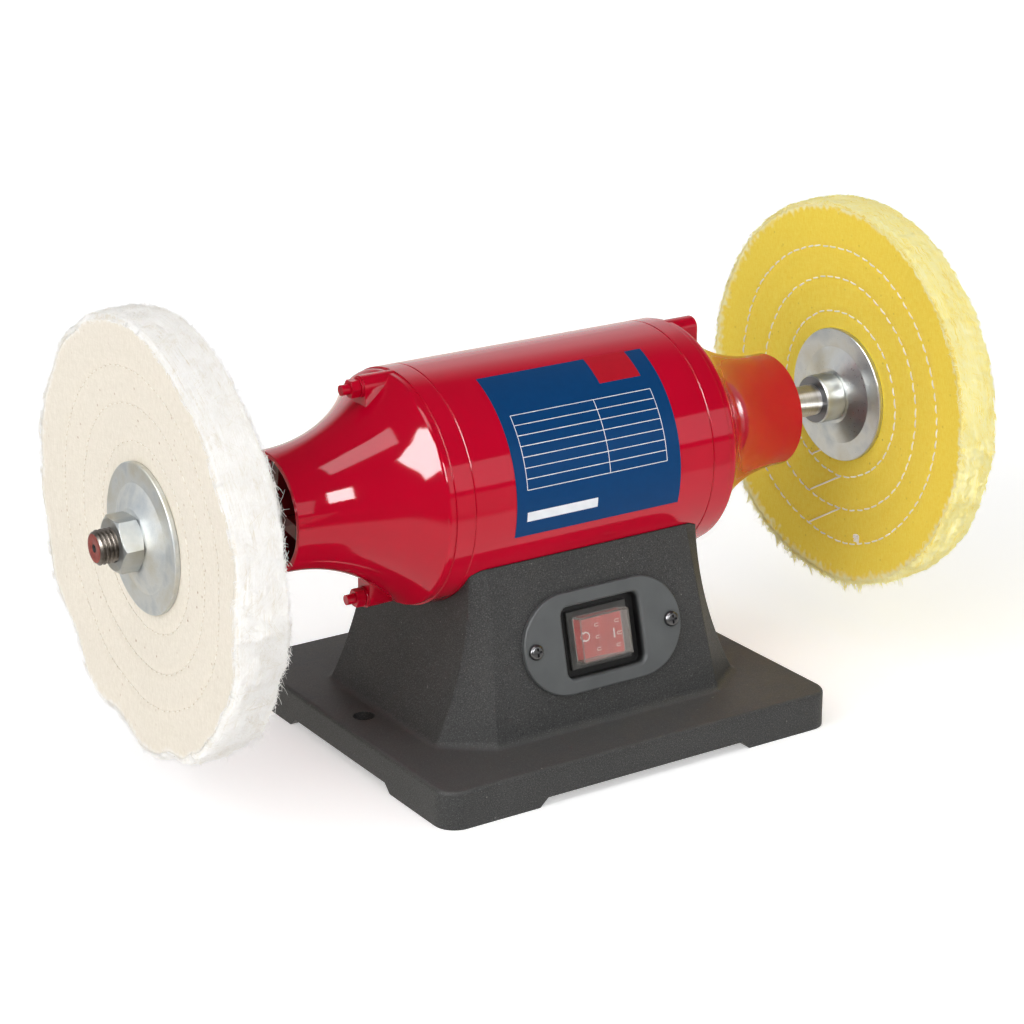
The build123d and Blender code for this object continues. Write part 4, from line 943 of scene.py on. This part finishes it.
def table_lines():
    """Ruled lines of the table, as patches."""
    left, right, column = -39.5, 39.6, 6.9
    top, bottom, line_count = 42.8, 7.0, 8
    line = 0.34
    turn = math.degrees(line / LABEL_R)
    levels = np.linspace(top, bottom, line_count)
    rows = [(left, right, level - turn / 2, level + turn / 2) for level in levels]
    columns = [(x - line / 2, x + line / 2, bottom, top) for x in (left, column, right)]
    return rows + columns


film_piece("label_table", table_lines(), label_white)
film_piece("label_strip", [(-39.7, -0.3, -8.5, -3.8)], label_white)
film_piece("label_tab", [(14.5, 38.0, 50.5, 67.5)], label_red)


# Marks on the rocker, and painted highlights on its grip bumps

def rocker_point(u, v, rise=0.0):
    """Point just clear of the rocker's V face at rest, u along it and v up it from its middle."""
    hinge = joints["rocker_tilt"]
    pivot, up = np.array(hinge["pos_m"]) / MM, np.array(hinge["axis"])
    along = np.array([1.0, 0.0, 0.0])
    out = np.cross(along, up)
    throw = math.radians(hinge["range_deg"][1] / 2)
    valley, clear = 5.2, 0.03
    height = valley + abs(u) * math.tan(throw) + clear + rise
    turned_u = u * math.cos(throw) - height * math.sin(throw)
    turned_w = u * math.sin(throw) + height * math.cos(throw)
    return pivot + along * turned_u + up * v + out * turned_w


def off_mark():
    """Ring for the off side."""
    sides = 40
    turn = np.arange(sides) * 2 * np.pi / sides
    ring = [(r * math.cos(angle), r * math.sin(angle)) for r in (1.75, 2.4) for angle in turn]
    points = [rocker_point(-6.9 + u, 0.55 + v) for u, v in ring]
    add_piece("rocker_off_mark", points, grid_faces(2, sides), "rocker", "red_plastic", mark_white)


def on_mark():
    """Bar for the on side."""
    corners = [(7.6, -2.6), (8.3, -2.6), (8.3, 2.0), (7.6, 2.0)]
    points = [rocker_point(u, v) for u, v in corners]
    add_piece("rocker_on_mark", points, [(0, 1, 2, 3)], "rocker", "red_plastic", mark_white)


def grip_highlight_hooks():
    """Small raised hooks on the rocker, pale as painted highlights of its grip bumps."""
    bend = np.radians(np.linspace(60, 300, 13))
    paths = []
    for u, v in ((-0.5, 5.1), (-0.5, -0.8), (-0.6, -6.7), (9.5, 5.5), (10.2, -0.6), (9.2, -6.3)):
        round_end = [(u + 0.8 * math.cos(angle), v + 0.7 * math.sin(angle)) for angle in bend]
        hook = [(u + 1.3, v + 0.7), *round_end, (u + 1.3, v - 0.6)]
        paths.append([rocker_point(*place, rise=0.1) for place in hook])
    points, faces = tubes(np.array(paths), 0.2, 6, np.array([0.0, -0.97, 0.23]))
    add_piece("rocker_grip_highlight_hooks", points, faces, "rocker", "red_plastic", grip_highlight_pink)


off_mark()
on_mark()
grip_highlight_hooks()


# Floor, light and camera, in metres

def studio_floor():
    """Large pale floor that keeps the object's shadow and fades to white away from it.

    It throws light up at the object, and in gloss it ends early."""
    mesh = bpy.data.meshes.new("floor")
    reach = 12.0
    corners = [(-reach, -reach, 0), (reach, -reach, 0), (reach, reach, 0), (-reach, reach, 0)]
    mesh.from_pydata(corners, [], [(0, 1, 2, 3)])
    floor = bpy.data.objects.new("floor", mesh)
    bpy.context.scene.collection.objects.link(floor)
    look = new_look("pale_floor")
    look.surface(Base_Color=(0.92, 0.92, 0.92, 1.0), Roughness=0.9, Specular_IOR_Level=0.0)
    path = look.add("LightPath")
    place = look.place()
    length = look.add("VectorMath")
    length.operation = "LENGTH"
    look.feed(length.inputs[0], place)
    level = look.span(length.outputs["Value"], 0.45, 1.6, 0.42, 1.0)
    glow = look.add("Emission")
    seen = look.seen_plainly(path)
    bounce = look.times(path.outputs["Is Diffuse Ray"], 0.5)
    shown = look.times(level, seen)
    look.fill(glow, Strength=look.maths("ADD", shown, bounce))
    total = look.add("AddShader")
    look.feed(total.inputs[0], look.shader.outputs["BSDF"])
    look.feed(total.inputs[1], glow.outputs["Emission"])
    x, y, _ = look.split(place)
    near = look.times(look.span(x, -0.43, -0.34), look.span(y, -0.40, -0.31))
    sheen = look.add("Emission", Color=(1.0, 0.95, 0.87, 1.0))
    ahead = look.span(x, 0.05, 0.2, 0.07, 0.5)
    bright = look.span(near, 0.0, 1.0, 0.07, 0.95)
    look.fill(sheen, Strength=look.maths("MAXIMUM", ahead, bright))
    surface = look.choose(path.outputs["Is Glossy Ray"], total.outputs["Shader"], sheen.outputs["Emission"])
    look.fill(look.nodes["Material Output"], Surface=surface)
    mesh.materials.append(look.owner)


def studio_world():
    """White for the camera, a low backdrop in a dark room for gloss, and a dome that lights the object."""
    world = bpy.data.worlds.new("studio")
    bpy.context.scene.world = world
    look = Shading(world)
    path = look.add("LightPath")
    x, y, z = look.split(look.add("TexCoord").outputs["Generated"])
    dome = look.nodes["Background"]
    tilt = look.times(look.maths("ADD", x, z), 0.1)
    look.fill(dome, Color=WHITE, Strength=look.maths("ADD", tilt, 0.3))
    room = look.add("Background", Color=WHITE)
    rightward = look.times(look.maths("MAXIMUM", x, 0.0), 0.66)
    above = look.maths("SUBTRACT", look.maths("SUBTRACT", z, rightward), 0.24)
    backdrop = look.times(look.span(above, -0.05, 0.22, 1.0, 0.0), look.span(y, -0.05, 0.1))
    look.fill(room, Strength=look.maths("MAXIMUM", backdrop, 0.06))
    white = look.add("Background", Color=WHITE)
    lit, mirrored, shown = (backing.outputs["Background"] for backing in (dome, room, white))
    unseen = look.choose(path.outputs["Is Glossy Ray"], lit, mirrored)
    surround = look.choose(look.seen_plainly(path), unseen, shown)
    look.fill(look.nodes["World Output"], Surface=surround)


def softbox(name, direction, distance, size, light, shine, along=(0.0, 0.0, 0.0)):
    """Rectangular lamp facing the motor: watts that light matt surfaces and watts that show in gloss.

    Its width lies level unless along is given. The lighting part is larger, for soft shadows."""
    aim = Vector((0.0, 0.0, 0.13))
    back = Vector(direction).normalized()
    side = Vector(along) if any(along) else Vector((0.0, 0.0, 1.0)).cross(back)
    side = (side - back * side.dot(back)).normalized()
    turn = Matrix((side, back.cross(side), back)).transposed().to_4x4()
    for kind, power, spread in (("light", light, 1.6), ("shine", shine, 1.0)):
        lamp = bpy.data.lights.new(f"{name}_{kind}", "AREA")
        lamp.shape = "RECTANGLE"
        lamp.size = size[0] * spread
        lamp.size_y = size[1] * spread
        lamp.energy = power
        lamp.cycles.use_multiple_importance_sampling = kind == "shine"
        holder = bpy.data.objects.new(lamp.name, lamp)
        holder.matrix_world = Matrix.Translation(aim + back * distance) @ turn
        holder.visible_glossy = kind == "shine"
        holder.visible_diffuse = kind == "light"
        bpy.context.scene.collection.objects.link(holder)


def photo_camera():
    """Camera solved from the photograph: both buffs as equal discs on one axis."""
    azimuth, elevation, roll = math.radians(-32.860), math.radians(19.377), math.radians(-0.23)
    place = (-0.68764, -1.04677, 0.54416)
    level = math.cos(elevation)
    back = Vector((math.sin(azimuth) * level, -math.cos(azimuth) * level, math.sin(elevation)))
    right = Vector((math.cos(azimuth), math.sin(azimuth), 0.0))
    up = back.cross(right)
    rolled_right = right * math.cos(roll) + up * math.sin(roll)
    rolled_up = up * math.cos(roll) - right * math.sin(roll)
    data = bpy.data.cameras.new("camera")
    data.sensor_width = 36.0
    data.lens = 95.69
    data.clip_start, data.clip_end = 0.05, 60.0
    camera = bpy.data.objects.new("camera", data)
    turn = Matrix((rolled_right, rolled_up, back)).transposed().to_4x4()
    camera.matrix_world = Matrix.Translation(place) @ turn
    bpy.context.scene.collection.objects.link(camera)
    bpy.context.scene.camera = camera


bpy.context.scene.view_settings.view_transform = "Standard"
studio_floor()
studio_world()
softbox("left_key", (-0.85, -0.29, 0.43), distance=2.2, size=(1.05, 1.05), light=17.0, shine=70.0)
softbox("front_lamp", (-0.06, -0.90, 0.41), distance=2.2, size=(0.65, 0.65), light=3.0, shine=27.0)
softbox("top_strip", (-0.30, -0.20, 0.93), distance=2.2, size=(1.8, 0.8), light=14.0, shine=17.5,
        along=(0.95, -0.32, 0.0))
softbox("right_panel", (0.49, -0.84, 0.25), distance=2.5, size=(1.25, 0.93), light=8.0, shine=4.3)
photo_camera()
